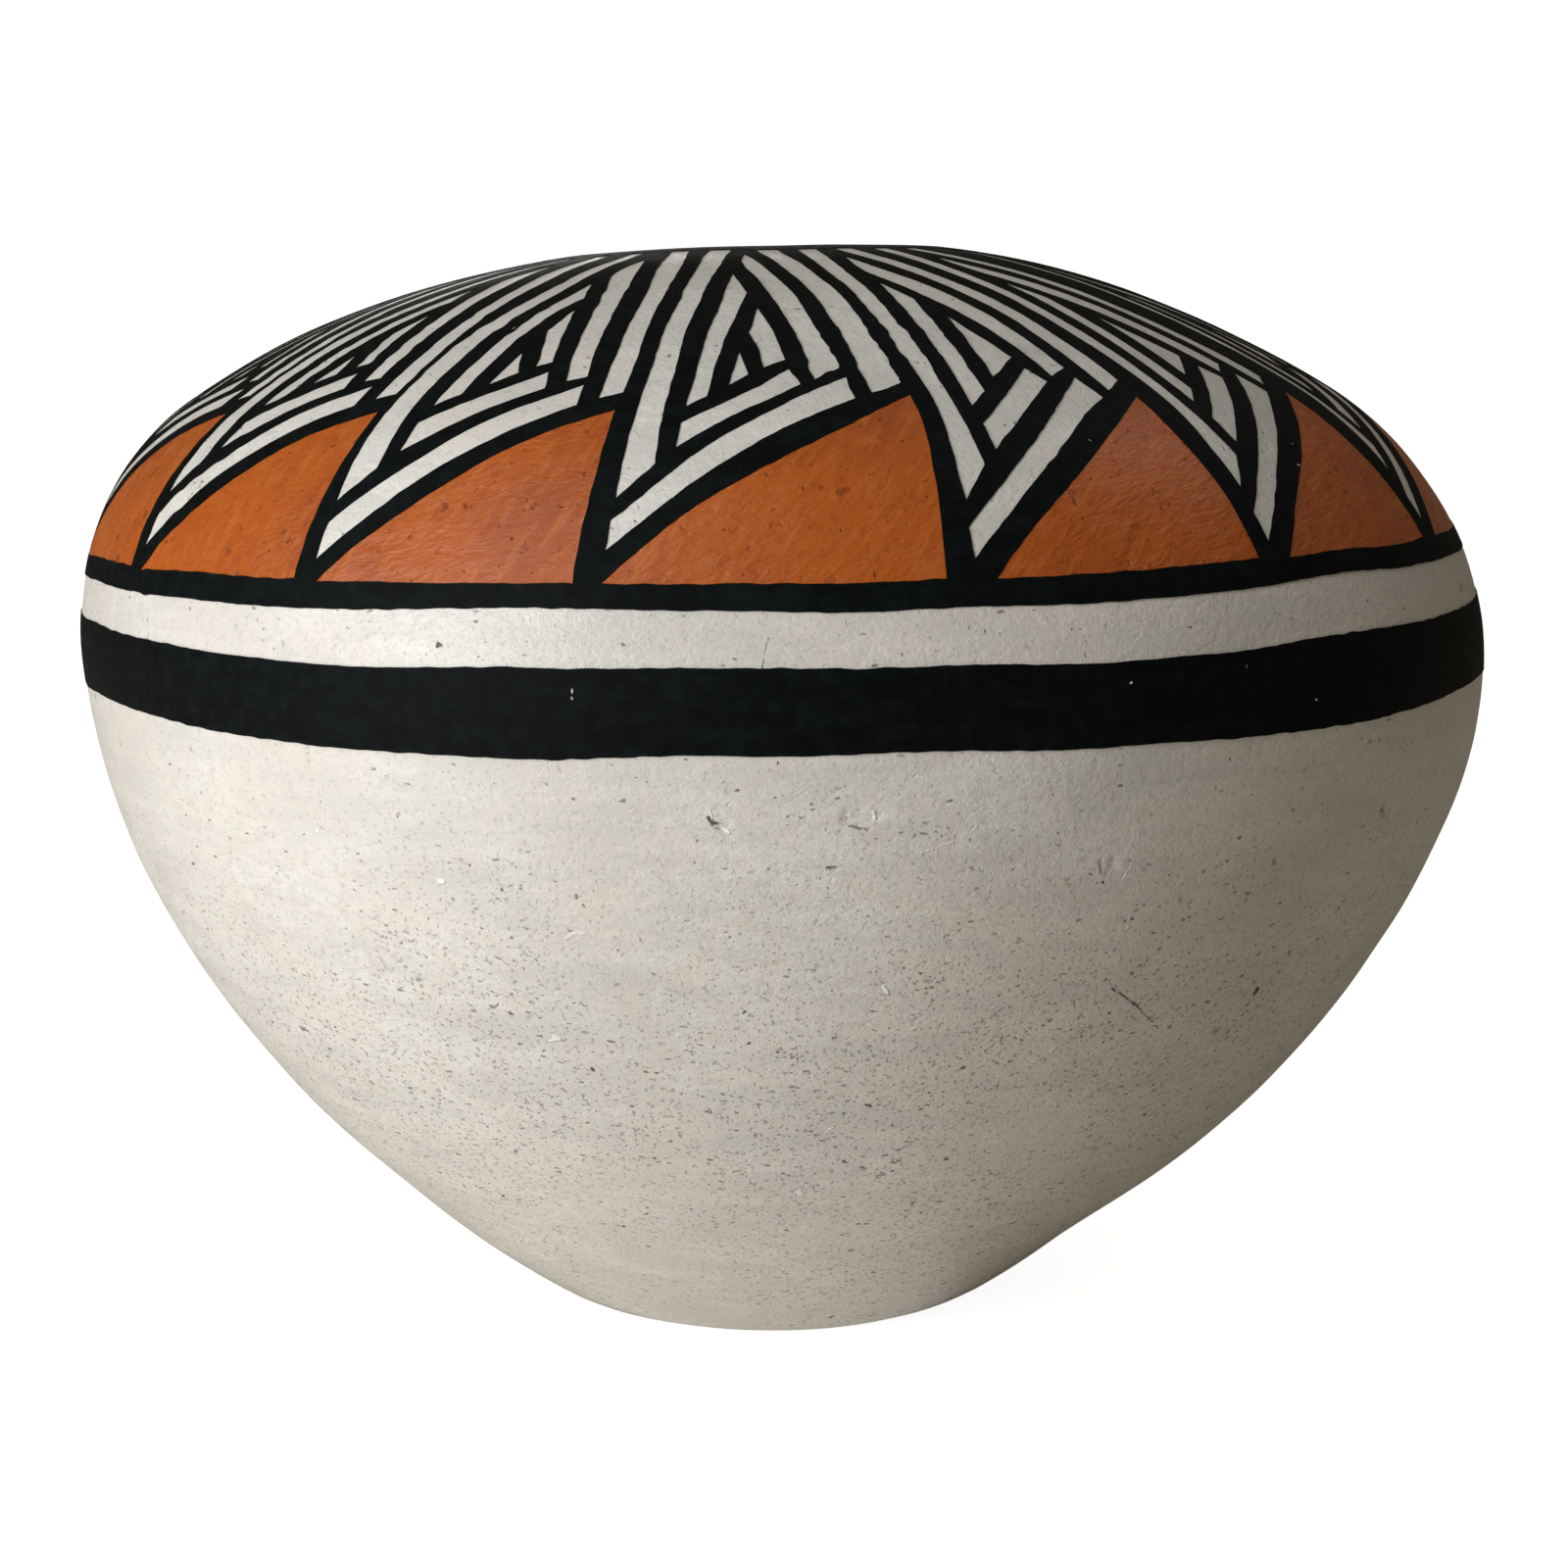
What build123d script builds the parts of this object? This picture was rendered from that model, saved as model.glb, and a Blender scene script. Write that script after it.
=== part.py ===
from build123d import *
import math
import os

# Pueblo pottery jar: a hand-coiled seed jar of fired clay, standing on its foot at z = 0 with
# the mouth on top. Its front faces -Y. Lengths are millimetres and angles are degrees.
# The wall follows one meridian curve of tangent arcs. A slope is the angle between that curve
# and the ground: 0 at the foot, 90 at the widest line, and near 180 on the dome by the mouth.

# Clay body: the meridian of the outside of the bare clay
foot_radius = 20.4
foot_round_radius = 12.7
foot_slope = 35.7
flare_radius = 185.4
flare_slope = 44.4
belly_radius = 94.3
belly_slope = 67.9
hip_radius = 53.5
hip_slope = 89.2
shoulder_radius = 31.2
shoulder_slope = 146.9
dome_radius = 95.1
mouth_radius = 18.0
wall_thickness = 5.0

# Foot: a narrow standing ring around a shallow dished underside
foot_land_width = 3.5
foot_dish_depth = 1.2

# Coils: the base is moulded in a bowl, and each coil laps over the one below on the inside
base_wall_length = 26.0
rim_coil_length = 12.0
wall_coil_count = 9
coil_lap = 3.0

# Coats: white slip over the clay, then black and orange mineral paint over the slip
slip_thickness = 0.3
slip_start_slope = 24.0
paint_thickness = 0.2

# Painted bands: lengths measured along the wall from its widest line, upwards
belt_low_length = -2.2
belt_high_length = 5.1
line_low_length = 9.9
line_high_length = 12.1
mouth_ring_width = 3.0

# Painted dome: one unit of the design, repeated round the jar
unit_count = 16
front_share = 0.5
cut_overrun = 5.0

# The design's outlines. Each side is a list of points (across, up): across is a share of one
# unit's angle, and up is a share of the way from the shoulder line to the mouth ring. A side
# of two points is straight, and a side of more points is a smooth stroke through them.
unit_edge_shares = [(-0.015, 0.0), (0.01, 0.13), (0.03, 0.33), (0.02, 0.45), (-0.017, 0.65), (-0.115, 0.78),
                    (-0.29, 0.92), (-0.39, 1.0)]
triangle_shares = [
    [(0.04, 0.0), (0.185, 0.073), (0.342, 0.137), (0.538, 0.2), (0.735, 0.256), (0.975, 0.327)],
    [(0.975, 0.327), (0.96, 0.158), (0.93, 0.0)],
]
window_shares = {
    "outer_left": [
        [(0.063, 0.127), (0.09, 0.315), (0.094, 0.46), (0.079, 0.627), (0.0, 0.782), (-0.13, 0.92),
         (-0.24, 1.03)],
        [(-0.24, 1.03), (-0.005, 1.03)],
        [(-0.005, 1.03), (0.043, 0.955), (0.102, 0.863), (0.165, 0.686), (0.185, 0.436), (0.169, 0.185)],
        [(0.169, 0.185), (0.063, 0.127)],
    ],
    "long_low": [
        [(0.055, 0.092), (0.189, 0.158), (0.4, 0.252), (0.564, 0.312), (0.774, 0.375)],
        [(0.774, 0.375), (0.794, 0.318)],
        [(0.794, 0.318), (0.554, 0.258), (0.314, 0.17), (0.185, 0.11), (0.047, 0.047)],
        [(0.047, 0.047), (0.055, 0.092)],
    ],
    "short_low": [
        [(0.236, 0.263), (0.4, 0.324), (0.589, 0.4)],
        [(0.589, 0.4), (0.621, 0.355)],
        [(0.621, 0.355), (0.538, 0.327), (0.377, 0.274), (0.226, 0.213)],
        [(0.226, 0.213), (0.236, 0.263)],
    ],
    "inner_left": [
        [(0.244, 0.298), (0.264, 0.412), (0.283, 0.619), (0.248, 0.775)],
        [(0.248, 0.775), (0.393, 0.672)],
        [(0.393, 0.672), (0.338, 0.461), (0.31, 0.325)],
        [(0.31, 0.325), (0.244, 0.298)],
    ],
    "small_triangle": [
        [(0.377, 0.354), (0.409, 0.451)],
        [(0.409, 0.451), (0.448, 0.383)],
        [(0.448, 0.383), (0.377, 0.354)],
    ],
    "small_blade": [
        [(0.432, 0.515), (0.464, 0.607)],
        [(0.464, 0.607), (0.499, 0.565), (0.574, 0.424)],
        [(0.574, 0.424), (0.501, 0.404)],
        [(0.501, 0.404), (0.472, 0.476), (0.432, 0.515)],
    ],
    "inner_right": [
        [(0.668, 0.37), (0.652, 0.412), (0.597, 0.558), (0.499, 0.675), (0.35, 0.785), (0.212, 0.926)],
        [(0.212, 0.926), (0.271, 0.904), (0.42, 0.827), (0.574, 0.723), (0.699, 0.558), (0.768, 0.401)],
        [(0.768, 0.401), (0.668, 0.37)],
    ],
    "outer_right": [
        [(0.849, 0.332), (0.813, 0.502), (0.766, 0.633), (0.64, 0.76), (0.499, 0.856), (0.299, 0.945),
         (0.13, 1.03)],
        [(0.13, 1.03), (0.37, 1.03)],
        [(0.37, 1.03), (0.472, 0.965), (0.617, 0.893), (0.794, 0.753), (0.888, 0.65), (0.947, 0.45),
         (0.963, 0.358)],
        [(0.963, 0.358), (0.849, 0.332)],
    ],
}

# The meridian, from the foot up: each arc has its radius, its centre and its two slopes
meridian = []


def outward(slope):
    """Unit vector out of the wall at a slope, in the half section."""
    return Vector(math.sin(math.radians(slope)), 0, -math.cos(math.radians(slope)))


def next_centre(radius, slope):
    """Centre of an arc that carries on smoothly from the arc below at a slope."""
    below = meridian[-1]
    return below["centre"] + (below["radius"] - radius) * outward(slope)


def add_arc(radius, centre, low_slope, high_slope):
    meridian.append({"radius": radius, "centre": centre, "low": low_slope, "high": high_slope})


add_arc(foot_round_radius, Vector(foot_radius, 0, foot_round_radius), 0, foot_slope)
add_arc(flare_radius, next_centre(flare_radius, foot_slope), foot_slope, flare_slope)
add_arc(belly_radius, next_centre(belly_radius, flare_slope), flare_slope, belly_slope)
add_arc(hip_radius, next_centre(hip_radius, belly_slope), belly_slope, hip_slope)
add_arc(shoulder_radius, next_centre(shoulder_radius, hip_slope), hip_slope, shoulder_slope)

# The dome ends where its rounded lip, half a wall in radius, just reaches the mouth's radius
lip_radius = wall_thickness / 2
dome_centre = next_centre(dome_radius, shoulder_slope)
lip_sine = (mouth_radius + lip_radius - dome_centre.X) / (dome_radius - lip_radius)
lip_slope = 180 - math.degrees(math.asin(lip_sine))
add_arc(dome_radius, dome_centre, shoulder_slope, lip_slope)


def arc_at_slope(slope):
    for arc in meridian:
        if slope <= arc["high"]:
            return arc
    return meridian[-1]


def length_at_slope(slope):
    """Length along the outside of the clay from the edge of the foot up to a slope."""
    total = 0
    for arc in meridian:
        top = min(slope, arc["high"])
        total += arc["radius"] * math.radians(max(top - arc["low"], 0))
    return total


def slope_at_length(length):
    for arc in meridian:
        span = arc["radius"] * math.radians(arc["high"] - arc["low"])
        if length <= span or arc is meridian[-1]:
            return arc["low"] + math.degrees(length / arc["radius"])
        length -= span


def wall_point(slope, depth):
    """Point of the meridian at a slope. Depth is into the clay, so a coat has a negative one."""
    return arc_point(arc_at_slope(slope), slope, depth)


def arc_point(arc, slope, depth):
    return arc["centre"] + (arc["radius"] - depth) * outward(slope)


def wall_curve(depth, start, end):
    """Edges that follow the meridian at one depth, in order from one slope to the other."""
    low, high = min(start, end), max(start, end)
    edges = []
    for arc in meridian:
        first = max(low, arc["low"])
        last = min(high, arc["high"])
        if last > first:
            slopes = [first, (first + last) / 2, last]
            edges.append(ThreePointArc(*[arc_point(arc, slope, depth) for slope in slopes]))
    return edges if end > start else edges[::-1]


def turned(edges):
    """A solid of revolution about the jar's axis from the edges of its half section."""
    return revolve(make_face(Wire(edges)), Axis.Z, 360)


def ring(outer_depth, outer_low, outer_high, inner_depth, inner_low, inner_high):
    """A ring of the wall between two depths. Its two ends join the outer and the inner slopes."""
    outer = wall_curve(outer_depth, outer_low, outer_high)
    inner = wall_curve(inner_depth, inner_high, inner_low)
    top = Line(wall_point(outer_high, outer_depth), wall_point(inner_high, inner_depth))
    bottom = Line(wall_point(inner_low, inner_depth), wall_point(outer_low, outer_depth))
    return turned([*outer, top, *inner, bottom])


def lip_point(turn, depth):
    """Point of the rounded lip. Turn is 0 on the outside, 90 at the rim and 180 on the inside."""
    return wall_point(lip_slope, lip_radius) + (lip_radius - depth) * outward(lip_slope + turn)


def lip_arc(depth, start, end):
    return ThreePointArc(lip_point(start, depth), lip_point((start + end) / 2, depth), lip_point(end, depth))


# Slopes where coils meet, on the outside and, one lap lower, on the inside
lip_length = length_at_slope(lip_slope)
coil_length = (lip_length - base_wall_length - rim_coil_length) / wall_coil_count
joint_lengths = [base_wall_length + i * coil_length for i in range(wall_coil_count + 1)]
outer_joints = [slope_at_length(length) for length in joint_lengths]
inner_joints = [slope_at_length(length - coil_lap) for length in joint_lengths]


def moulded_base():
    """The floor and the lower wall, with a dished underside inside the standing ring."""
    dish_radius = foot_radius - foot_land_width
    dish_crown = Vector(0, 0, foot_dish_depth)
    dish_edge = Vector(dish_radius, 0, 0)
    sphere_radius = (dish_radius ** 2 + foot_dish_depth ** 2) / (2 * foot_dish_depth)
    half_turn = math.asin(dish_radius / sphere_radius) / 2
    dish_middle = dish_crown + sphere_radius * Vector(math.sin(half_turn), 0, math.cos(half_turn) - 1)
    section = [ThreePointArc(dish_crown, dish_middle, dish_edge), Line(dish_edge, wall_point(0, 0))]
    section += wall_curve(0, 0, outer_joints[0])
    section.append(Line(wall_point(outer_joints[0], 0), wall_point(inner_joints[0], wall_thickness)))
    section += wall_curve(wall_thickness, inner_joints[0], 0)
    floor_centre = Vector(0, 0, wall_thickness)
    section += [Line(wall_point(0, wall_thickness), floor_centre), Line(floor_centre, dish_crown)]
    return turned(section)


def wall_coil(i):
    return ring(0, outer_joints[i], outer_joints[i + 1], wall_thickness, inner_joints[i], inner_joints[i + 1])


def rim_coil():
    """The last coil, with the rounded lip of the mouth."""
    section = wall_curve(0, outer_joints[-1], lip_slope)
    section.append(lip_arc(0, 0, 180))
    section += wall_curve(wall_thickness, lip_slope, inner_joints[-1])
    section.append(Line(wall_point(inner_joints[-1], wall_thickness), wall_point(outer_joints[-1], 0)))
    return turned(section)


def coat_over_lip(low_depth, high_depth, start):
    """A coat from a slope up the wall and over the lip, as far as the rim of the mouth."""
    section = wall_curve(high_depth, start, lip_slope)
    section.append(lip_arc(high_depth, 0, 90))
    section.append(Line(lip_point(90, high_depth), lip_point(90, low_depth)))
    section.append(lip_arc(low_depth, 90, 0))
    section += wall_curve(low_depth, lip_slope, start)
    section.append(Line(wall_point(start, low_depth), wall_point(start, high_depth)))
    return turned(section)


slip_face = -slip_thickness
paint_face = slip_face - paint_thickness
widest_length = length_at_slope(90)
line_low_slope = slope_at_length(widest_length + line_low_length)
line_high_slope = slope_at_length(widest_length + line_high_length)
mouth_ring_slope = slope_at_length(lip_length - mouth_ring_width)


def painted_band(low_length, high_length):
    low = slope_at_length(widest_length + low_length)
    high = slope_at_length(widest_length + high_length)
    return ring(paint_face, low, high, slip_face, low, high)


# Painted dome. The design is laid out on the ground plane and cut down through the coat.
unit_angle = 360 / unit_count
design_low_length = length_at_slope(line_high_slope)
design_high_length = length_at_slope(mouth_ring_slope)


def design_point(across_share, up_share):
    """Point of the ground plane under a place of the design. The front is in mid unit."""
    length = design_low_length + up_share * (design_high_length - design_low_length)
    radius = wall_point(slope_at_length(length), slip_face).X
    turn = math.radians((across_share - front_share) * unit_angle)
    return Vector(radius * math.sin(turn), -radius * math.cos(turn), 0)


def design_edge(side):
    points = [design_point(*share) for share in side]
    return Line(*points) if len(points) == 2 else Spline(*points)


def level_arc(up_share, start_share, end_share):
    """Arc round the jar at one height of the design."""
    middle_share = (start_share + end_share) / 2
    return ThreePointArc(design_point(start_share, up_share), design_point(middle_share, up_share),
                         design_point(end_share, up_share))


def unit_face():
    """The whole of one painted unit, between two like edges that lie under black strokes."""
    left = unit_edge_shares
    right = [(across + 1, up) for across, up in unit_edge_shares]
    low = level_arc(0, left[0][0], right[0][0])
    high = level_arc(1, right[-1][0], left[-1][0])
    return make_face(Wire([low, design_edge(right), high, design_edge(left[::-1])]))


def triangle_face():
    base = level_arc(0, triangle_shares[-1][-1][0], triangle_shares[0][0][0])
    return make_face(Wire([*[design_edge(side) for side in triangle_shares], base]))


def window_face(sides):
    return make_face(Wire([design_edge(side) for side in sides]))


def cut_from_coat(face):
    """The part of the paint coat on the dome that lies over a face of the ground plane."""
    coat = ring(paint_face, line_high_slope, mouth_ring_slope, slip_face, line_high_slope, mouth_ring_slope)
    column = extrude(face, wall_point(lip_slope, paint_face).Z + cut_overrun, dir=(0, 0, 1))
    return coat & column


def round_the_jar(solid):
    copies = [Rot(0, 0, i * unit_angle) * solid for i in range(unit_count)]
    return Compound(children=[piece for copy in copies for piece in copy.solids()])


def dome_linework():
    face = unit_face() - triangle_face()
    for sides in window_shares.values():
        face -= window_face(sides)
    return round_the_jar(cut_from_coat(face))


def dome_triangles():
    return round_the_jar(cut_from_coat(triangle_face()))


def all_parts():
    parts = {"moulded_base": moulded_base()}
    for i in range(wall_coil_count):
        parts[f"wall_coil_{i + 1}"] = wall_coil(i)
    parts["rim_coil"] = rim_coil()
    parts["white_slip"] = coat_over_lip(0, slip_face, slip_start_slope)
    parts["black_belt"] = painted_band(belt_low_length, belt_high_length)
    parts["black_shoulder_line"] = painted_band(line_low_length, line_high_length)
    parts["black_mouth_ring"] = coat_over_lip(slip_face, paint_face, mouth_ring_slope)
    parts["black_dome_strokes"] = dome_linework()
    parts["orange_triangles"] = dome_triangles()
    return parts


os.makedirs("parts", exist_ok=True)
for name, shape in all_parts().items():
    export_step(shape, f"parts/{name}.step")
print("widest radius", round(wall_point(90, slip_face).X, 2))
print("widest height", round(wall_point(90, slip_face).Z, 2))
print("full height", round(wall_point(lip_slope, paint_face).Z, 2))
print("wall coil length", round(coil_length, 2))
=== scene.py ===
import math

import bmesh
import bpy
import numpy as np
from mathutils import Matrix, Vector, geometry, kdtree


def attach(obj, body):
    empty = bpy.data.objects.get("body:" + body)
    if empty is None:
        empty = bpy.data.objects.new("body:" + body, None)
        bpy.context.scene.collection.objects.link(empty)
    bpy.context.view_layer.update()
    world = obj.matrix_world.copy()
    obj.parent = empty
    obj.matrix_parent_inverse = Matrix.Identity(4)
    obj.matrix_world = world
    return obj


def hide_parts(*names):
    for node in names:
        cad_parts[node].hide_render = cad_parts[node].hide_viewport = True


bl_info = {
    "name": "Pueblo pottery jar",
    "version": (1, 0, 0),
    "blender": (4, 5, 0),
    "location": "3D View > Sidebar > Pottery",
    "description": "Dresses a hand-coiled seed jar in clay, white slip and mineral paint, on a pale stage",
    "category": "Add Mesh",
}

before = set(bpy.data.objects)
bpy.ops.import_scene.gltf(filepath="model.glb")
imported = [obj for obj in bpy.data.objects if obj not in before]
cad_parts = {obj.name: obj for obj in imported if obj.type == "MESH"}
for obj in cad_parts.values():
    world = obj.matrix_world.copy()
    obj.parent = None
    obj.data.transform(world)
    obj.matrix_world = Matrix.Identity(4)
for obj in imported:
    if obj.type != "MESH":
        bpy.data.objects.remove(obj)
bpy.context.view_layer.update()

MM = 0.001
BODY = "root"
WALL_COILS = sum(name.startswith("wall_coil_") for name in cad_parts)

# Readings are degrees round the jar, where 0 is the front and right is positive, and shares: lengths
# along the wall from its widest line, as parts of this radius in millimetres. The painted units have
# their feet at this share.
READING_RADIUS = 75.0
FOOT_SHARE = 0.14

# How far the jar leans: its sideways shift in millimetres, and its sideways tilt, at heights above
# the ground in millimetres
LEAN = ((0, -1.7), (8, -1.6), (20, -0.55), (45, 0.0), (68, 0.0), (80, -0.95), (89, -2.05), (99, -2.95),
        (107, -3.2), (114, -2.7))
TILT = ((0, 0.0), (57, 0.0095), (70, 0.009), (82, 0.018), (106, 0.014), (114, 0.022))

# Where the soft wall was pressed in above the foot: degrees, height, half height and depth in
# millimetres, and how narrow it is round the jar
PRESSED = (88.0, 10.0, 8.0, 0.55, 4.0)

# How the guide that the units were read on differs from the wall. Its lean is in millimetres, at
# shares of the way up. Each pair after it is a correction at the widest line, and what one share adds.
GUIDE_LEAN = ((0.0, 0.0), (0.115, -0.45), (0.179, -0.9), (0.30, -1.35), (0.463, -1.95), (0.657, -1.95),
              (0.87, -0.75), (1.0, 0.0))
GUIDE_SIDE = 50.0
GUIDE_RISE = 1.22
GUIDE_STRETCH = (READING_RADIUS + 0.92, -2.23)
GUIDE_ROLL = (0.69, 1.50)
GUIDE_TURN = (0.43, -0.86)
GUIDE_BEND = (0.79, -2.47)

# Where the brush wandered along the bands: degrees, and millimetres above the widest line
BELT_TOP = ((-65, 5.4), (-45, 4.85), (-31, 4.5), (-16, 4.9), (-5, 4.95), (9, 4.7), (25, 4.5), (40, 4.8),
            (68, 5.0))
BELT_FOOT = ((-65, -2.05), (-45, -2.5), (-31, -2.9), (-16, -2.8), (-5, -2.3), (9, -2.35), (25, -2.7),
             (45, -2.85), (66, -2.2))
LINE_TOP = ((-65, 11.65), (-45, 11.5), (-31, 11.95), (-16, 12.1), (5, 11.8), (26, 11.75), (48, 12.2))
LINE_FOOT = ((-65, 9.6), (-45, 9.4), (-31, 9.5), (-16, 9.95), (5, 9.45), (26, 9.5), (48, 10.1), (60, 9.9))

# Painted units as they were brushed: the degrees of a unit's two feet, how far it leans, its orange
# triangle and its white windows. An outline is a list of sides. A side starts where the one before it
# ends, and is a list of (degrees, share).
LEFT_UNIT = {
    "feet": (-34.6, -12.7),
    "lean": 0.0,
    "triangle":
        [[(-32.2, 0.155), (-28.8, 0.2), (-24.9, 0.254), (-21.65, 0.297), (-18.8, 0.332), (-14.9, 0.363),
         (-12.3, 0.382)], [(-12.5, 0.316), (-13.3, 0.198), (-13.6, 0.1405)], [(-33.5, 0.132)]],
    "windows": [
        [[(-33.3, 0.332), (-33.0, 0.4), (-32.8, 0.456), (-33.0, 0.52), (-32.2, 0.6), (-31.65, 0.66),
         (-31.85, 0.71), (-32.3, 0.76), (-33.4, 0.8), (-34.0, 0.859), (-37.2, 0.93), (-39.9, 0.99)],
         [(-34.6, 0.99)], [(-33.2, 0.93), (-30.8, 0.86), (-29.7, 0.765), (-29.15, 0.728), (-28.8, 0.685),
         (-29.1, 0.647), (-29.7, 0.6), (-30.1, 0.53), (-30.3, 0.466), (-30.6, 0.391), (-30.7, 0.3),
         (-30.8, 0.282)], [(-33.4, 0.233)]],
        [[(-30.0, 0.261), (-27.2, 0.3), (-23.8, 0.352), (-20.1, 0.394), (-17.6, 0.417), (-15.8, 0.435)],
         [(-15.7, 0.391)], [(-18.8, 0.364), (-21.65, 0.332), (-24.5, 0.296), (-27.6, 0.254),
         (-30.0, 0.2125), (-31.85, 0.191), (-33.8, 0.159)], [(-33.5, 0.207)]],
        [[(-27.2, 0.38), (-24.9, 0.406), (-22.0, 0.439), (-19.8, 0.465)], [(-19.25, 0.426)],
         [(-21.65, 0.402), (-24.5, 0.37), (-27.2, 0.335), (-29.4, 0.308)], [(-29.1, 0.3575)]],
        [[(-28.3, 0.493), (-27.5, 0.593), (-27.0, 0.647), (-26.5, 0.695), (-26.6, 0.738)], [(-24.7, 0.698),
         (-23.8, 0.671)], [(-24.7, 0.647), (-25.5, 0.583), (-26.2, 0.5235), (-26.4, 0.48), (-26.75, 0.411)],
         [(-28.8, 0.386)]],
        [[(-24.9, 0.433)], [(-22.7, 0.46)], [(-24.1, 0.511)]],
        [[(-23.6, 0.569)], [(-22.2, 0.5235), (-21.4, 0.476)], [(-20.0, 0.485)], [(-21.3, 0.556),
         (-22.0, 0.6), (-22.8, 0.634)]],
        [[(-26.5, 0.832), (-26.6, 0.792), (-25.7, 0.77), (-24.15, 0.741), (-22.6, 0.706), (-21.1, 0.663),
         (-20.1, 0.62), (-19.35, 0.569), (-18.0, 0.472), (-17.6, 0.442)], [(-15.8, 0.4515)],
         [(-16.85, 0.55), (-17.6, 0.628), (-18.8, 0.679), (-19.9, 0.722), (-21.5, 0.768), (-23.4, 0.8135),
         (-24.9, 0.846), (-26.65, 0.8645)]],
        [[(-27.3, 0.94), (-24.5, 0.9075), (-22.8, 0.875), (-21.1, 0.835), (-19.3, 0.792), (-17.6, 0.744),
         (-16.1, 0.695), (-15.2, 0.65), (-14.9, 0.6), (-14.25, 0.5235), (-14.0, 0.4045)], [(-12.0, 0.417)],
         [(-11.85, 0.466), (-12.3, 0.56), (-12.8, 0.6255), (-13.2, 0.677), (-14.0, 0.725), (-15.1, 0.776),
         (-16.5, 0.824), (-18.2, 0.867), (-20.0, 0.905), (-21.65, 0.929), (-26.5, 0.99)], [(-31.7, 0.99)]],
    ],
}
MIDDLE_UNIT = {
    "feet": (-12.7, 12.75),
    "lean": -2.0,
    "triangle":
        [[(-8.0, 0.2), (-4.0, 0.253), (1.0, 0.305), (6.0, 0.351), (12.1, 0.41)], [(12.2, 0.35),
         (11.7, 0.27), (11.0, 0.143)], [(-11.7, 0.141)]],
    "windows": [
        [[(-10.8, 0.31), (-10.4, 0.4), (-10.2, 0.46), (-10.3, 0.52), (-10.6, 0.593), (-10.7, 0.657),
         (-11.5, 0.712), (-12.7, 0.785), (-14.0, 0.843), (-16.0, 0.9), (-19.0, 0.99)], [(-13.2, 0.99)],
         [(-11.6, 0.931), (-10.8, 0.892), (-10.1, 0.852), (-9.5, 0.797), (-9.0, 0.749), (-8.5, 0.706),
         (-8.15, 0.651), (-8.2, 0.572), (-8.0, 0.5), (-8.1, 0.4165), (-8.4, 0.337), (-8.4, 0.293)],
         [(-11.1, 0.2445)]],
        [[(-10.0, 0.237), (-7.9, 0.27), (-5.0, 0.316), (-2.5, 0.348), (1.65, 0.397), (4.9, 0.43),
         (7.0, 0.449)], [(7.5, 0.402)], [(5.8, 0.389), (1.4, 0.353), (-1.2, 0.322), (-4.7, 0.28),
         (-8.0, 0.231), (-10.0, 0.203), (-11.5, 0.1785)], [(-11.3, 0.216)]],
        [[(-5.0, 0.378), (-2.5, 0.407), (0.0, 0.438), (2.3, 0.47)], [(3.1, 0.433)], [(1.0, 0.41),
         (-1.2, 0.389), (-3.1, 0.366), (-5.1, 0.34), (-6.95, 0.316)], [(-6.7, 0.357)]],
        [[(-6.2, 0.429), (-5.97, 0.48), (-5.8, 0.584), (-5.5, 0.651), (-5.8, 0.706), (-6.1, 0.74),
         (-6.4, 0.779)], [(-4.7, 0.7425), (-3.1, 0.709), (-2.7, 0.694)], [(-2.9, 0.651), (-3.5, 0.6),
         (-3.8, 0.566), (-4.1, 0.52), (-4.6, 0.45), (-4.8, 0.408)], [(-6.5, 0.386)]],
        [[(-3.1, 0.432)], [(-1.3, 0.456)], [(-2.3, 0.512)]],
        [[(-1.7, 0.5645)], [(-0.7, 0.5325), (0.06, 0.473)], [(1.9, 0.49)], [(1.0, 0.56), (0.0, 0.606),
         (-0.9, 0.641)]],
        [[(-7.1, 0.864), (-6.6, 0.84), (-6.0, 0.828), (-3.8, 0.788), (-1.8, 0.749), (0.0, 0.697),
         (1.4, 0.657), (2.5, 0.6), (3.4, 0.54), (3.9, 0.48), (4.3, 0.445)], [(6.84, 0.471)], [(6.8, 0.4865),
         (6.0, 0.54), (5.1, 0.6), (4.5, 0.657), (3.6, 0.69), (1.9, 0.7365), (0.0, 0.778), (-2.0, 0.822),
         (-3.8, 0.858), (-5.8, 0.886), (-7.3, 0.904)]],
        [[(-7.0, 0.952), (-5.1, 0.922), (-3.8, 0.907), (-2.0, 0.883), (0.0, 0.846), (1.9, 0.803),
         (3.6, 0.767), (4.9, 0.721), (6.8, 0.662), (7.3, 0.615), (8.0, 0.554), (8.6, 0.459), (8.9, 0.4135)],
         [(11.8, 0.435)], [(11.7, 0.474), (11.4, 0.511), (11.0, 0.566), (10.6, 0.621), (9.9, 0.676),
         (8.85, 0.718), (7.5, 0.761), (5.8, 0.81), (4.5, 0.843), (3.0, 0.8765), (1.4, 0.898), (0.0, 0.922),
         (-3.3, 0.99)], [(-9.4, 0.99)]],
    ],
}
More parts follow.
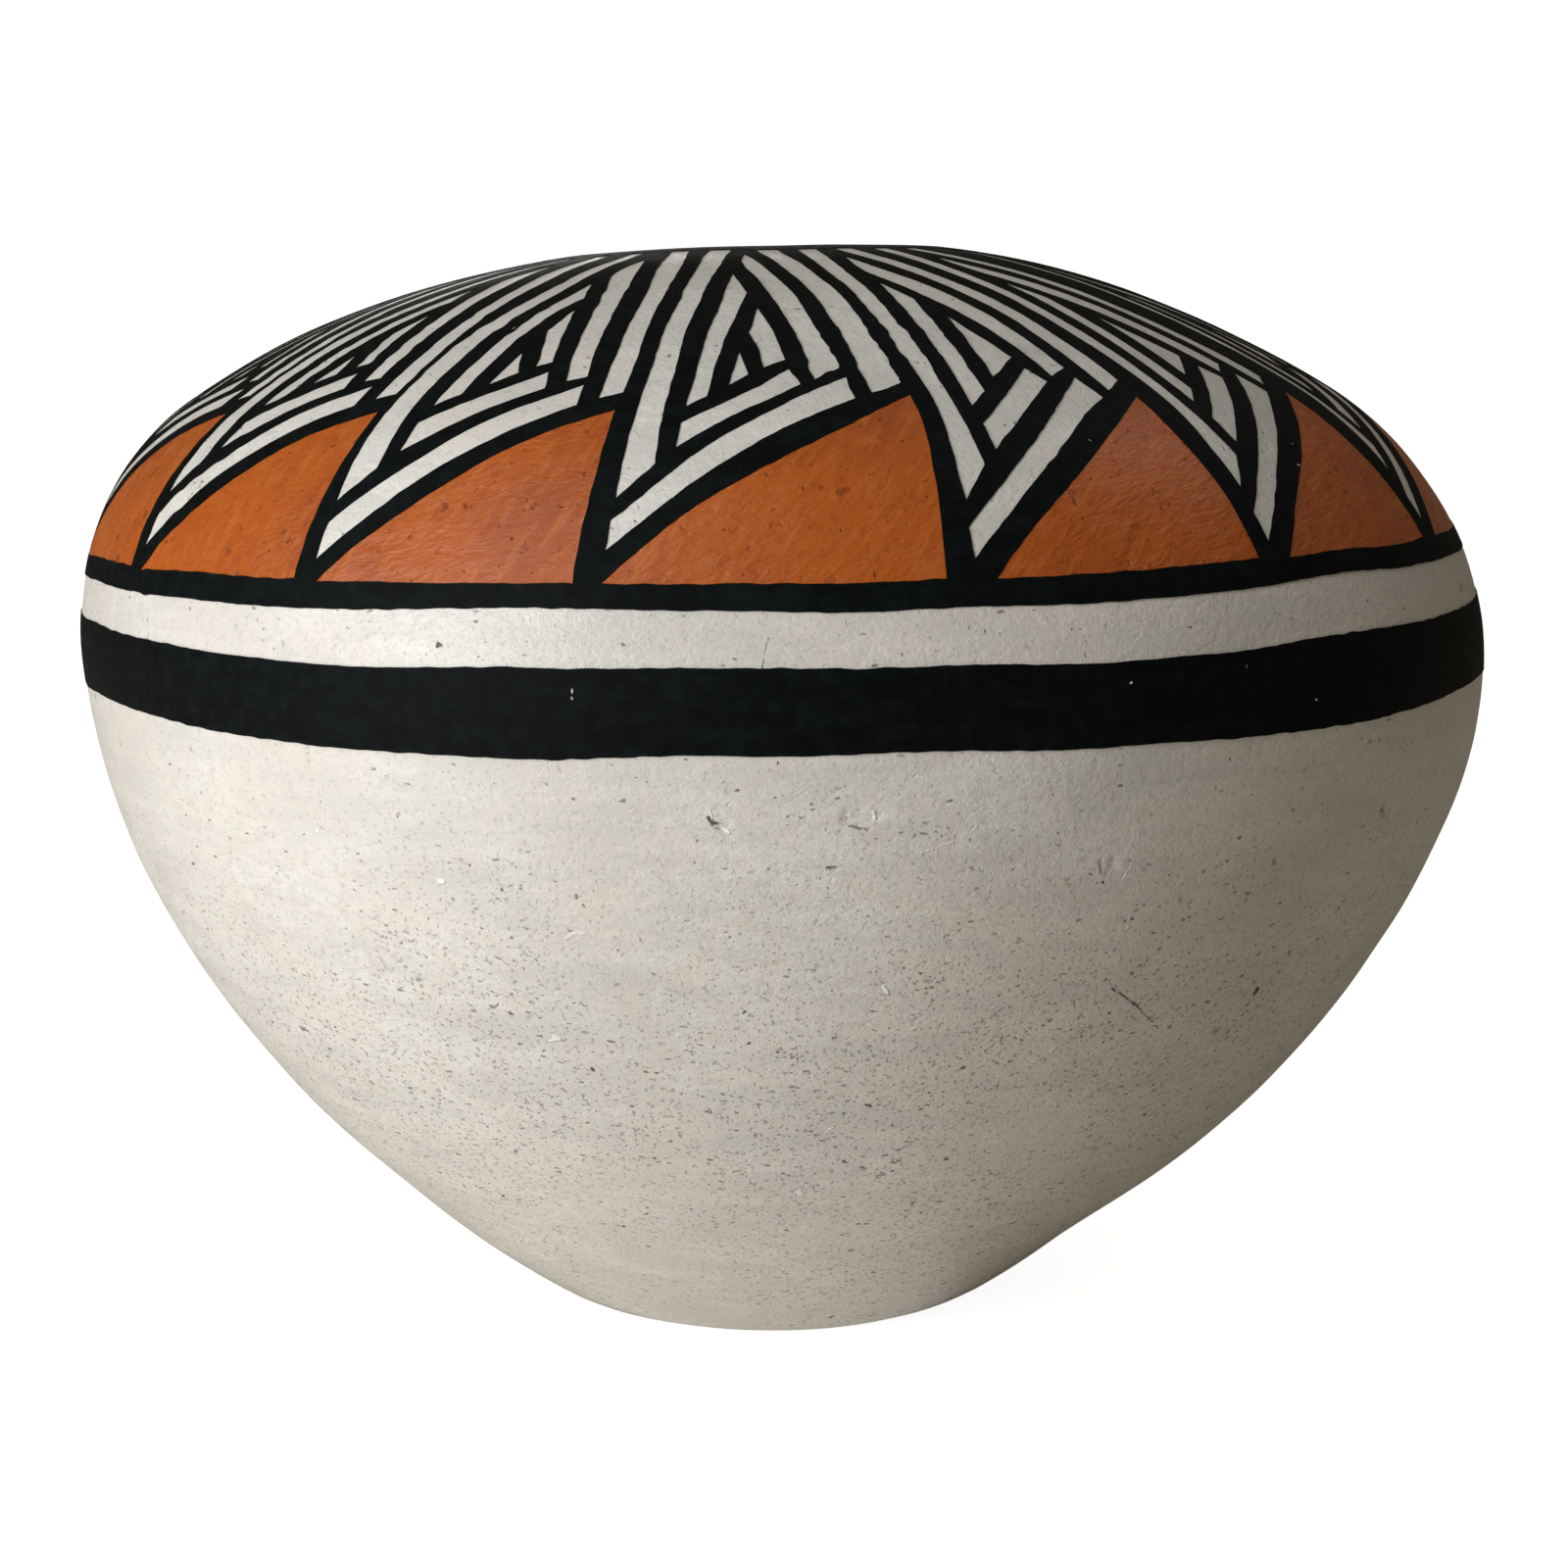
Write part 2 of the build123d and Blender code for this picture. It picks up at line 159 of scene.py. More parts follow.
RIGHT_UNIT = {
    "feet": (12.75, 36.6),
    "lean": -7.5,
    "triangle":
        [[(16.3, 0.176), (18.5, 0.213), (21.1, 0.249), (25.0, 0.3), (28.7, 0.3465), (32.0, 0.386),
         (33.8, 0.406)], [(33.9, 0.374), (34.5, 0.307), (35.1, 0.237), (35.4, 0.155)], [(14.5, 0.143)]],
    "windows": [
        [[(13.6, 0.3), (13.9, 0.368), (13.9, 0.43), (13.3, 0.5), (13.1, 0.523), (12.7, 0.584),
         (12.1, 0.645), (11.3, 0.7), (10.2, 0.749), (9.1, 0.779), (8.0, 0.822), (4.6, 0.92), (2.4, 0.99)],
         [(8.0, 0.99)], [(9.3, 0.919), (10.6, 0.852), (11.8, 0.8), (12.8, 0.755), (13.8, 0.706),
         (14.4, 0.657), (14.75, 0.6), (15.2, 0.52), (15.5, 0.4165), (15.6, 0.337), (15.8, 0.289)],
         [(13.6, 0.24)]],
        [[(16.5, 0.26), (19.8, 0.3115), (23.3, 0.365), (26.5, 0.4135), (29.25, 0.4515)], [(30.1, 0.406)],
         [(27.2, 0.377), (24.1, 0.334), (20.2, 0.28), (17.4, 0.237), (15.2, 0.2), (13.3, 0.167)],
         [(13.3, 0.205)]],
        [[(21.1, 0.4165), (24.8, 0.473)], [(25.9, 0.441)], [(23.3, 0.406), (20.2, 0.359), (17.05, 0.31)],
         [(17.05, 0.354)]],
        [[(17.0, 0.523), (16.6, 0.645), (16.2, 0.706), (15.6, 0.7456)], [(17.6, 0.706), (18.96, 0.676)],
         [(18.9, 0.615), (19.07, 0.465), (19.0, 0.418)], [(17.0, 0.387)]],
        [[(20.7, 0.4485)], [(24.35, 0.499)], [(21.2, 0.618)]],
        [[(13.6, 0.864), (14.5, 0.8), (15.2, 0.782), (17.6, 0.749), (19.3, 0.715), (21.1, 0.679),
         (22.8, 0.636), (24.6, 0.578), (25.9, 0.52), (26.85, 0.453)], [(29.1, 0.474)], [(28.6, 0.52),
         (27.6, 0.572), (26.7, 0.621), (25.65, 0.663), (24.1, 0.706), (22.2, 0.746), (20.0, 0.785),
         (17.8, 0.819), (15.85, 0.852), (13.9, 0.886)]],
        [[(14.3, 0.93), (17.15, 0.886), (19.8, 0.852), (21.95, 0.816), (24.1, 0.767), (26.3, 0.712),
         (28.3, 0.651), (29.6, 0.584), (30.3, 0.52), (31.4, 0.42)], [(33.7, 0.443)], [(33.4, 0.4835),
         (32.2, 0.569), (31.5, 0.63), (30.45, 0.685), (28.7, 0.74), (26.5, 0.797), (24.1, 0.849),
         (21.95, 0.889), (20.2, 0.913), (17.0, 0.99)], [(11.6, 0.99)]],
    ],
}

# The feet of the front units, the unit that each one is brushed like, and how far it leans more than
# that one. Behind them the units are about evenly spaced, and the lean eases back to the first one's.
FRONT_FEET = (-55.8, -33.9, -12.0, 13.4, 37.3, 61.2)
FRONT_UNITS = (LEFT_UNIT, LEFT_UNIT, MIDDLE_UNIT, RIGHT_UNIT, RIGHT_UNIT)
FRONT_LEANS = (0.0, 0.0, 0.0, 0.0, -6.0)
BACK_UNITS = (RIGHT_UNIT, RIGHT_UNIT, MIDDLE_UNIT, RIGHT_UNIT, MIDDLE_UNIT, LEFT_UNIT, MIDDLE_UNIT,
              MIDDLE_UNIT, LEFT_UNIT, MIDDLE_UNIT, LEFT_UNIT)

# Knocks in the slip: degrees, millimetres above the widest line, half width, half height, depth. The
# slip's mesh is finer where a chip is, made wider by the margin, and one cell of the mesh round it.
CHIP_MARGIN = 1.4
CELL = 1.2
CHIPS = (
    (-4.2, -8.4, 0.9, 0.45, 0.22),
    (-5.3, -6.3, 0.3, 0.9, 0.08),
    (4.6, -7.6, 2.1, 0.8, 0.17),
    (22.4, -13.4, 0.6, 0.9, 0.12),
    (49.4, -12.2, 0.7, 0.9, 0.4),
    (10.8, -9.6, 1.3, 0.5, 0.08),
    (-25.5, -50.0, 1.7, 0.5, 0.09),
    (-29.0, -58.0, 1.5, 0.6, 0.08),
    (118.0, -20.0, 1.4, 0.8, 0.18),
    (-140.0, -35.0, 1.0, 1.3, 0.2),
)

# Hairline cracks and scores, dark or bright. The dark lines along the edges of knocks are painted shade,
# and the bright ones there are chalky bruising with painted highlight. Each has two ends in degrees and
# millimetres above the widest line, half width in millimetres, and strength
CRACK_AND_SHADE_LINES = (
    ((25.0, -26.4), (28.1, -29.1), 0.15, 0.9),
    ((28.1, -29.1), (31.2, -32.4), 0.10, 0.7),
    ((-0.4, 7.5), (-0.7, 6.3), 0.08, 0.5),
    ((-0.7, 6.3), (-0.95, 4.8), 0.12, 0.55),
    ((-5.0, -7.7), (-4.3, -8.25), 0.26, 0.95),
    ((4.0, -8.4), (5.2, -8.8), 0.15, 0.7),
    ((2.6, -12.1), (3.1, -12.15), 0.17, 0.85),
    ((21.4, -12.8), (21.7, -13.9), 0.26, 0.35),
    ((21.9, -14.9), (21.95, -15.0), 0.2, 0.95),
    ((-100.0, -18.0), (-96.0, -24.0), 0.13, 0.8),
)
SCORE_AND_HIGHLIGHT_LINES = (
    ((-4.85, -6.7), (-4.8, -7.7), 0.11, 0.9),
    ((-4.1, -8.55), (-3.75, -8.9), 0.26, 0.9),
    ((4.0, -7.4), (4.25, -7.6), 0.32, 0.7),
    ((5.5, -7.3), (5.6, -7.8), 0.24, 0.8),
    ((23.5, -14.8), (23.9, -13.2), 0.13, 0.9),
    ((8.8, -11.0), (10.8, -10.1), 0.16, 0.5),
    ((28.0, -16.3), (28.6, -15.5), 0.14, 0.6),
    ((6.9, -24.2), (7.3, -25.0), 0.22, 0.7),
)

# Soft lights that face the jar's middle: width in metres, the way out to the light, its distance in
# metres, and its colour
COOL, WHITE, BLACK = (0.94, 0.97, 1.0), (1.0, 1.0, 1.0), (0.0, 0.0, 0.0)
HIGH_LIGHTS = {
    "window": (0.5, (-0.75, -0.635, 0.20), 0.95, COOL),
    "high": (0.35, (-0.42, -0.50, 0.76), 0.9, COOL),
    "top": (0.3, (0.51, 0.21, 0.84), 0.9, WHITE),
    "back": (0.3, (-0.12, 0.98, 0.16), 0.95, WHITE),
}

# Lights on the floor that face up: width in metres, and place in millimetres
LOW_LIGHTS = {
    "floor": (0.12, (-140, -120, 0.4)),
    "foot": (0.10, (-30, -72, 0.4)),
}


def size(name, description, value):
    return bpy.props.FloatProperty(name=name, description=description, default=value, unit="LENGTH",
                                   precision=5)


def slope(name, description, value):
    return bpy.props.FloatProperty(name=name, description=description, default=math.radians(value),
                                   subtype="ANGLE", unit="ROTATION")


def colour(name, description, value):
    return bpy.props.FloatVectorProperty(name=name, description=description, default=value, subtype="COLOR",
                                         min=0.0, max=1.0)


def amount(name, description, value):
    return bpy.props.FloatProperty(name=name, description=description, default=value, subtype="FACTOR")


def power(name, description, value):
    return bpy.props.FloatProperty(name=name, description=description, default=value, unit="POWER")


class JarShape(bpy.types.PropertyGroup):
    """Sizes of the bare clay and of the coats on it."""

    foot_radius: size("Foot radius", "Outer radius of the ring that the jar stands on", 20.4 * MM)
    foot_land: size("Foot land", "Width of the standing ring", 3.5 * MM)
    foot_dish: size("Foot dish", "Depth of the shallow dish under the foot", 1.2 * MM)
    foot_round: size("Foot round", "Radius of the arc where the wall leaves the ground", 12.7 * MM)
    flare_radius: size("Flare radius", "Radius of the nearly straight wall above the foot", 185.4 * MM)
    belly_radius: size("Belly radius", "Radius of the wall's arc below the hip", 94.3 * MM)
    hip_radius: size("Hip radius", "Radius of the arc that ends at the widest line", 53.5 * MM)
    shoulder_radius: size("Shoulder radius", "Radius of the arc above the widest line", 31.2 * MM)
    dome_radius: size("Dome radius", "Radius of the low dome round the mouth", 95.1 * MM)
    foot_slope: slope("Foot slope", "Slope of the wall where the foot's arc ends", 35.7)
    flare_slope: slope("Flare slope", "Slope of the wall where the flare ends", 44.4)
    belly_slope: slope("Belly slope", "Slope of the wall where the belly ends", 67.9)
    hip_slope: slope("Hip slope", "Slope of the wall where the hip ends", 89.2)
    shoulder_slope: slope("Shoulder slope", "Slope of the wall where the shoulder ends", 146.9)
    slip_slope: slope("Slip slope", "Slope of the wall where the slip begins, above the ground", 24.0)
    mouth_radius: size("Mouth radius", "Radius of the clear mouth", 18.0 * MM)
    wall: size("Wall", "Thickness of the clay wall", 5.0 * MM)
    slip: size("Slip", "Thickness of the white slip", 0.3 * MM)
    base_length: size("Base wall", "Length of wall moulded with the base", 26.0 * MM)
    rim_length: size("Rim coil", "Length of wall in the last coil", 12.0 * MM)
    lap: size("Coil lap", "How far each coil laps down the one below, inside", 3.0 * MM)
    wave_height: size("Waves", "Typical height of the waves left by scraping and polishing", 0.05 * MM)
    ridge_height: size("Ridges", "Height of the coil ridges inside", 0.35 * MM)


class JarPattern(bpy.types.PropertyGroup):
    """Sizes of the painted bands and strokes."""

    belt_low: size("Belt foot", "Lower edge of the belt, above the widest line", -2.2 * MM)
    belt_high: size("Belt top", "Upper edge of the belt, above the widest line", 5.1 * MM)
    line_low: size("Line foot", "Lower edge of the shoulder line", 9.9 * MM)
    line_high: size("Line top", "Upper edge of the shoulder line", 12.1 * MM)
    ring_width: size("Mouth ring", "Width of the black ring on the dome by the mouth", 3.0 * MM)
    paint: size("Paint", "How deep the paint is set, face to underside", 0.16 * MM)
    orange_lift: size("Orange lift", "How proud the orange stands of the slip", 0.04 * MM)
    black_lift: size("Black lift", "How proud the black strokes stand of the slip", 0.09 * MM)
    band_lift: size("Band lift", "How proud the black bands stand of the slip", 0.11 * MM)
    brush_step: size("Brush step", "Spacing of the points along a brushed edge", 0.45 * MM)
    brush_drift: size("Brush drift", "Slow wander of a brushed edge", 0.07 * MM)
    brush_shake: size("Brush shake", "Fine roughness of a brushed edge", 0.026 * MM)
    underlap: size("Underlap", "How far the orange runs under the black beside it", 0.6 * MM)


class JarFinish(bpy.types.PropertyGroup):
    """Colours of the clay and the coats."""

    clay: colour("Clay", "Bare fired clay", (0.50, 0.40, 0.30))
    clay_smoke: colour("Smoked clay", "Clay greyed by the fire", (0.26, 0.22, 0.18))
    slip: colour("Slip", "Polished white slip", (0.73, 0.70, 0.645))
    slip_cool: colour("Cool slip", "Slip where it dried thin and grey", (0.61, 0.585, 0.54))
    slip_blush: colour("Blush", "Slip over pinker clay", (0.68, 0.585, 0.52))
    # Chalky bruising and scuffs, and also the colour of painted highlights along the knocks' edges
    slip_bruise_and_highlight: colour("Bright slip", "Slip bruised to a chalky white", (0.90, 0.88, 0.84))
    # Temper flecks and cracks, and also the colour of painted shade along the knocks' edges
    fleck_and_shade: colour("Fleck", "Dark temper flecks that show through the slip", (0.09, 0.075, 0.06))
    black: colour("Black", "Black mineral paint", (0.0024, 0.0034, 0.0036))
    black_worn: colour("Worn black", "Black where it was brushed thin", (0.0056, 0.0074, 0.0078))
    orange: colour("Orange", "Burnt orange paint", (0.43, 0.092, 0.011))
    orange_pale: colour("Pale orange", "Orange rubbed thin over the slip", (0.47, 0.145, 0.030))
    orange_deep: colour("Deep orange", "Orange where the paint lies thick", (0.32, 0.064, 0.009))
    orange_dark: colour("Dark orange", "Spots where temper stains the orange", (0.15, 0.030, 0.006))
    slip_roughness: amount("Slip roughness", "Roughness of the polished slip", 0.34)
    black_roughness: amount("Black roughness", "Roughness of the black paint", 0.60)
    orange_roughness: amount("Orange roughness", "Roughness of the polished orange", 0.36)


class JarStage(bpy.types.PropertyGroup):
    """Camera, lights and the pale ground."""

    camera_x: size("Camera across", "Sideways place of the camera", -0.15 * MM)
    camera_y: size("Camera back", "Distance of the camera in front of the axis", -285.4 * MM)
    camera_z: size("Camera height", "Height of the camera", 102.3 * MM)
    camera_pitch: slope("Camera pitch", "How far the camera looks down", 9.379)
    lens: bpy.props.FloatProperty(name="Lens", description="Focal length on a 36 mm sensor", default=59.25,
                                  subtype="DISTANCE_CAMERA")
    window_power: power("Window", "Power of the large soft light", 7.0)
    high_power: power("High", "Power of the light high on the left", 1.9)
    floor_power: power("Floor", "Power of the light off the floor, to the left", 0.075)
    foot_power: power("Foot", "Power of the light off the floor by the foot", 0.009)
    top_power: power("Top", "Power of the weak light above the right shoulder", 0.5)
    back_power: power("Back", "Power of the low light behind the jar", 1.6)
    sky: amount("Sky", "Strength of the even light all round", 0.15)
    sky_tint: colour("Sky tint", "Colour of the even light all round", (1.0, 0.90, 0.74))
    ground: colour("Ground", "Pale paper of the stage", (0.54, 0.50, 0.42))
    ground_glow: amount("Ground glow", "How much of its own light the paper shows the camera", 0.93)


def flowing(value, knots):
    """Smooth curve through readings, given as (place, reading), and level beyond its ends."""
    places, readings = np.array(knots, dtype=float).T
    steps = np.diff(places)
    rises = np.diff(readings) / steps
    tangents = np.concatenate([rises[:1], rises, rises[-1:]])
    tangents = (tangents[1:] + tangents[:-1]) / 2
    value = np.clip(value, places[0], places[-1])
    i = np.clip(np.searchsorted(places, value, side="right") - 1, 0, len(steps) - 1)
    t = (value - places[i]) / steps[i]
    from_low = readings[i] * (1 + 2 * t) + tangents[i] * steps[i] * t
    from_high = readings[i + 1] * (3 - 2 * t) - tangents[i + 1] * steps[i] * (1 - t)
    return from_low * (1 - t) ** 2 + from_high * t ** 2


def eased(value, low, high):
    """0 below low, 1 above high, and smooth between."""
    t = np.clip((value - low) / (high - low), 0, 1)
    return t * t * (3 - 2 * t)


def swung(turn, spot):
    """Points of space for places of the half section, radius and height, swung to a turn."""
    return np.stack([spot[..., 0] * np.sin(turn), -spot[..., 0] * np.cos(turn), spot[..., 1] + 0 * turn],
                    axis=-1)


class Waves:
    """Smooth seeded waviness over points in space, about 1 high, for surfaces worked by hand."""

    def __init__(self, seed, count, shortest, longest, squash=(1, 1, 1)):
        rng = np.random.default_rng(seed)
        lengths = shortest * (longest / shortest) ** rng.random(count)
        headings = rng.normal(size=(count, 3))
        headings /= np.linalg.norm(headings, axis=1, keepdims=True)
        self.pace = 2 * np.pi * headings * np.array(squash) / lengths[:, None]
        self.phases = rng.uniform(0, 2 * np.pi, count)
        self.heights = lengths / np.sqrt(np.sum(lengths ** 2) / 2)

    def __call__(self, points):
        return np.sin(points @ self.pace.T + self.phases) @ self.heights


class Wall:
    """The outside of the slip: tangent arcs turned about the axis, then leaned and waved by hand.

    A place on it is a turn about the axis and a length along the wall from its widest line.
    """

    def __init__(self, shape):
        self.shape = shape
        lip = shape.wall / 2
        clay_radii = [shape.foot_round, shape.flare_radius, shape.belly_radius, shape.hip_radius,
                      shape.shoulder_radius, shape.dome_radius, lip]
        slopes = [0, shape.foot_slope, shape.flare_slope, shape.belly_slope, shape.hip_slope,
                  shape.shoulder_slope]
        centres = [np.array([shape.foot_radius, shape.foot_round])]
        for i, arc_slope in enumerate(slopes[1:]):
            centres.append(centres[-1] + (clay_radii[i] - clay_radii[i + 1]) * self.outward(arc_slope))
        lip_sine = (shape.mouth_radius + lip - centres[-1][0]) / (shape.dome_radius - lip)
        slopes.append(math.pi - math.asin(lip_sine))
        centres.append(centres[-1] + (shape.dome_radius - lip) * self.outward(slopes[-1]))
        self.slopes = np.array(slopes)
        self.centres = np.array(centres)
        self.radii = np.array(clay_radii) + shape.slip
        spans = self.radii[:-1] * np.diff(self.slopes)
        self.starts = np.concatenate([[0], np.cumsum(spans)])
        self.widest = 0.0
        self.widest = self.length_at(math.pi / 2)
        self.rim = self.starts[-1] - self.widest
        self.rim_end = self.rim + self.radii[-1] * math.pi / 2
        self.waves = Waves(seed=5, count=36, shortest=7 * MM, longest=46 * MM, squash=(1, 1, 1.5))

    @staticmethod
    def outward(slope):
        return np.stack([np.sin(slope), -np.cos(slope)], axis=-1)

    def length_at(self, slope):
        arc = max(np.searchsorted(self.slopes, slope) - 1, 0)
        return self.starts[arc] + self.radii[arc] * (slope - self.slopes[arc]) - self.widest

    def section(self, length):
        """Place in the half section, radius and height, and the way out of the wall there."""
        run = np.asarray(length) + self.widest
        arc = np.clip(np.searchsorted(self.starts, run, side="right") - 1, 0, len(self.radii) - 1)
        out = self.outward(self.slopes[arc] + (run - self.starts[arc]) / self.radii[arc])
        return self.centres[arc] + self.radii[arc][..., None] * out, out

    def put(self, turn, spot, out, lift):
        """Points of space for places of the half section at a turn, moved out by a lift."""
        base = swung(turn, spot)
        settle = eased(base[..., 2], 1 * MM, 10 * MM)
        degrees, height, reach, depth, narrowness = PRESSED
        pressed = narrowness * (np.cos(turn - math.radians(degrees)) - 1)
        pressed = depth * MM * np.exp(pressed - ((base[..., 2] / MM - height) / reach) ** 2)
        push = lift + settle * (self.shape.wave_height * self.waves(base) - pressed)
        return self.leaned(base + push[..., None] * swung(turn, out))

    def place(self, turn, length, lift=0.0):
        return self.put(turn, *self.section(length), lift)

    def leaned(self, points):
        """The same points on the jar as it stands, which leans to the left and rises to the right."""
        height = points[..., 2] / MM
        moved = points.copy()
        moved[..., 2] += flowing(height, TILT) * points[..., 0]
        moved[..., 0] += flowing(height, LEAN) * MM
        return moved


def finished_mesh(points, faces, crease=40):
    """A closed mesh from points and faces, welded, facing out and smooth but for its sharp edges."""
    mesh = bpy.data.meshes.new("clay_or_coat")
    mesh.from_pydata(np.asarray(points).tolist(), [], faces)
    shell = bmesh.new()
    shell.from_mesh(mesh)
    bmesh.ops.remove_doubles(shell, verts=shell.verts, dist=0.0005 * MM)
    bmesh.ops.dissolve_degenerate(shell, edges=shell.edges, dist=0.0005 * MM)
    bmesh.ops.recalc_face_normals(shell, faces=shell.faces)
    shell.to_mesh(mesh)
    shell.free()
    mesh.shade_smooth()
    mesh.set_sharp_from_angle(angle=math.radians(crease))
    return mesh


def add_piece(name, mesh, slot, *nodes):
    """Stand a finished mesh in for CAD nodes, in the slot's material."""
    mesh.name = name
    mesh.materials.append(finish_for(slot))
    piece = bpy.data.objects.new(name, mesh)
    bpy.context.scene.collection.objects.link(piece)
    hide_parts(*nodes)
    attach(piece, BODY)


def ring_faces(rows, columns, closed=True):
    """Quads of a grid that goes round the jar and, if closed, round its own section too."""
    faces = []
    for row in range(rows if closed else rows - 1):
        below, above = row * columns, (row + 1) % rows * columns
        for column in range(columns):
            beside = (column + 1) % columns
            faces.append((below + column, below + beside, above + beside, above + column))
    return faces


def even_turns(columns):
    return np.linspace(-np.pi, np.pi, columns, endpoint=False)


def swept_ring(wall, columns, *parts):
    """A ring whose closed section comes in parts: lengths and lifts, with one row of places for each."""
    grids = [np.broadcast_arrays(even_turns(columns), lengths, lifts) for lengths, lifts in parts]
    points = np.concatenate([wall.place(*grid) for grid in grids])
    return finished_mesh(points.reshape(-1, 3), ring_faces(*points.shape[:2]))


class Coils:
    """Where the base, the coils and the rim meet, outside and one lap lower inside."""

    def __init__(self, wall):
        self.wall, shape = wall, wall.shape
        foot, rim = -wall.widest, wall.rim
        self.span = (rim - foot - shape.base_length - shape.rim_length) / WALL_COILS
        self.joints = [foot + shape.base_length + i * self.span for i in range(WALL_COILS + 1)]
        self.dents = Waves(seed=11, count=24, shortest=8 * MM, longest=26 * MM, squash=(1, 1, 0.6))

    def inside_lift(self, turn, length):
        """Depth of the inside of the wall, with a ridge for each coil and the marks of fingers."""
        wall, shape = self.wall, self.wall.shape
        across_coil = 2 * np.pi * (length + shape.lap - self.joints[0]) / self.span
        ridge = shape.ridge_height * (np.cos(across_coil) - 1) / 2
        marks = shape.ridge_height / 3 * self.dents(swung(turn, wall.section(length)[0]))
        fade = eased(wall.rim - length, 2 * MM, 12 * MM) * eased(length + wall.widest, 4 * MM, 16 * MM)
        return -shape.slip - shape.wall + fade * (ridge + marks)


def coil_ring(coils, low, high, columns=288, outer_rows=9, inner_rows=17):
    """One coil of the wall: smooth outside, ridged inside, with slanted joints above and below."""
    shape = coils.wall.shape
    outer = np.linspace(low, high, outer_rows)[:, None]
    inner = np.linspace(high - shape.lap, low - shape.lap, inner_rows)[:, None]
    return swept_ring(coils.wall, columns, (outer, -shape.slip),
                      (inner, coils.inside_lift(even_turns(columns), inner)))


def rim_ring(coils, columns=288, outer_rows=9, lip_rows=17, inner_rows=15):
    """The last coil, with the rounded lip of the mouth."""
    wall, shape = coils.wall, coils.wall.shape
    outer = np.linspace(coils.joints[-1], wall.rim, outer_rows)[:, None]
    lip = wall.rim + np.linspace(0, math.pi, lip_rows)[1:, None] * wall.radii[-1]
    inner = np.linspace(wall.rim, coils.joints[-1] - shape.lap, inner_rows)[1:, None]
    return swept_ring(wall, columns, (outer, -shape.slip), (lip, -shape.slip),
                      (inner, coils.inside_lift(even_turns(columns), inner)))


def base_bowl(coils, columns=288, dish_rows=15, outer_rows=30, inner_rows=26, floor_rows=11):
    """The floor and lower wall, from the dished underside over the foot and down to the floor."""
    wall, shape = coils.wall, coils.wall.shape
    turns, down = even_turns(columns), np.array([[0.0, -1.0]])
    dish_edge = shape.foot_radius - shape.foot_land
    reach = np.linspace(0, dish_edge, dish_rows)
    under = np.stack([reach, shape.foot_dish * (1 - (reach / dish_edge) ** 2)], axis=1)
    outer = np.linspace(-wall.widest, coils.joints[0], outer_rows)
    inner = np.linspace(coils.joints[0] - shape.lap, -wall.widest, inner_rows)
    inner_spots, inner_ways = wall.section(inner)
    floor_radius, floor_height = inner_spots[-1]
    floor = np.linspace(floor_radius, 0, floor_rows + 1)[1:]
    floor = np.stack([floor, np.full(floor_rows, floor_height)], axis=1)
    parts = [(under, down, 0.0), (*wall.section(outer), -shape.slip),
             (inner_spots, inner_ways, coils.inside_lift(turns, inner[:, None])),
             (floor, down, -shape.slip - shape.wall)]
    points = np.concatenate([wall.put(turns, spots[:, None], ways[:, None], lifts)
                             for spots, ways, lifts in parts])
    return finished_mesh(points.reshape(-1, 3), ring_faces(*points.shape[:2], closed=False))


def chip_depth(turn, length):
    """How deep the knocks in the slip are, with broken rather than round outlines."""
    depth = np.zeros_like(turn)
    for number, (degrees, height, half_width, half_height, deep) in enumerate(CHIPS):
        across = (turn - math.radians(degrees)) * READING_RADIUS / half_width
        up = (length / MM - height) / half_height
        way = np.arctan2(up, across)
        broken = 1 + 0.22 * np.sin(3 * way + number) + 0.12 * np.sin(7 * way + 2 * number)
        depth += deep * MM * eased(broken - np.hypot(across, up), 0.0, 0.45)
    return depth


def slip_mesh(wall, columns=384, face_rows=112, back_rows=40, lip_rows=10, under_lip_rows=8):
    """The slip's closed skin, laid out flat, divided finely at the knocks and then put on the wall."""
    shape = wall.shape
    start, rim, lip = wall.length_at(shape.slip_slope), wall.rim, wall.rim_end
    face = np.concatenate([np.linspace(start, rim, face_rows), np.linspace(rim, lip, lip_rows)[1:]])
    back = np.concatenate([np.linspace(lip, rim, under_lip_rows), np.linspace(rim, start, back_rows)[1:]])
    rows = np.concatenate([face, back])
    lifts = np.repeat([0.0, -shape.slip], [len(face), len(back)])
    flat = np.stack(np.broadcast_arrays(even_turns(columns), rows[:, None], lifts[:, None]), axis=-1)
    layout = bmesh.new()
    corners = [layout.verts.new(place) for place in flat.reshape(-1, 3)]
    for around in ring_faces(len(rows), columns):
        layout.faces.new([corners[i] for i in around])
    for degrees, height, half_width, half_height, _ in CHIPS:
        centre = Vector((math.radians(degrees), height * MM))
        reach = Vector((half_width / READING_RADIUS, half_height * MM)) * CHIP_MARGIN
        reach += Vector((CELL / READING_RADIUS, CELL * MM))
        for _ in range(2):
            near = [edge for edge in layout.edges if edge_near(edge, centre, reach)]
            bmesh.ops.subdivide_edges(layout, edges=near, cuts=1, use_grid_fill=True)
    layout.verts.index_update()
    turn, length, lift = np.array([vert.co[:] for vert in layout.verts]).T
    faces = [[vert.index for vert in face.verts] for face in layout.faces]
    layout.free()
    low_edge = Waves(seed=21, count=12, shortest=6 * MM, longest=40 * MM)
    brim = swung(turn, np.array([shape.foot_radius, 0.0]))
    near_start = 1 - eased(length - start, 0.0, 6 * MM)
    length = length + near_start * 0.45 * MM * low_edge(brim)
    on_face = lift > -shape.slip / 2
    points = wall.place(turn, length, lift - on_face * chip_depth(turn, length))
    return finished_mesh(points, faces, crease=60)


def edge_near(edge, centre, reach):
    """Whether both ends of an edge of the flat layout's face lie close to a place."""
    for vert in edge.verts:
        if vert.co.z < 0 or abs(vert.co.x - centre.x) > reach.x or abs(vert.co.y - centre.y) > reach.y:
            return False
    return True


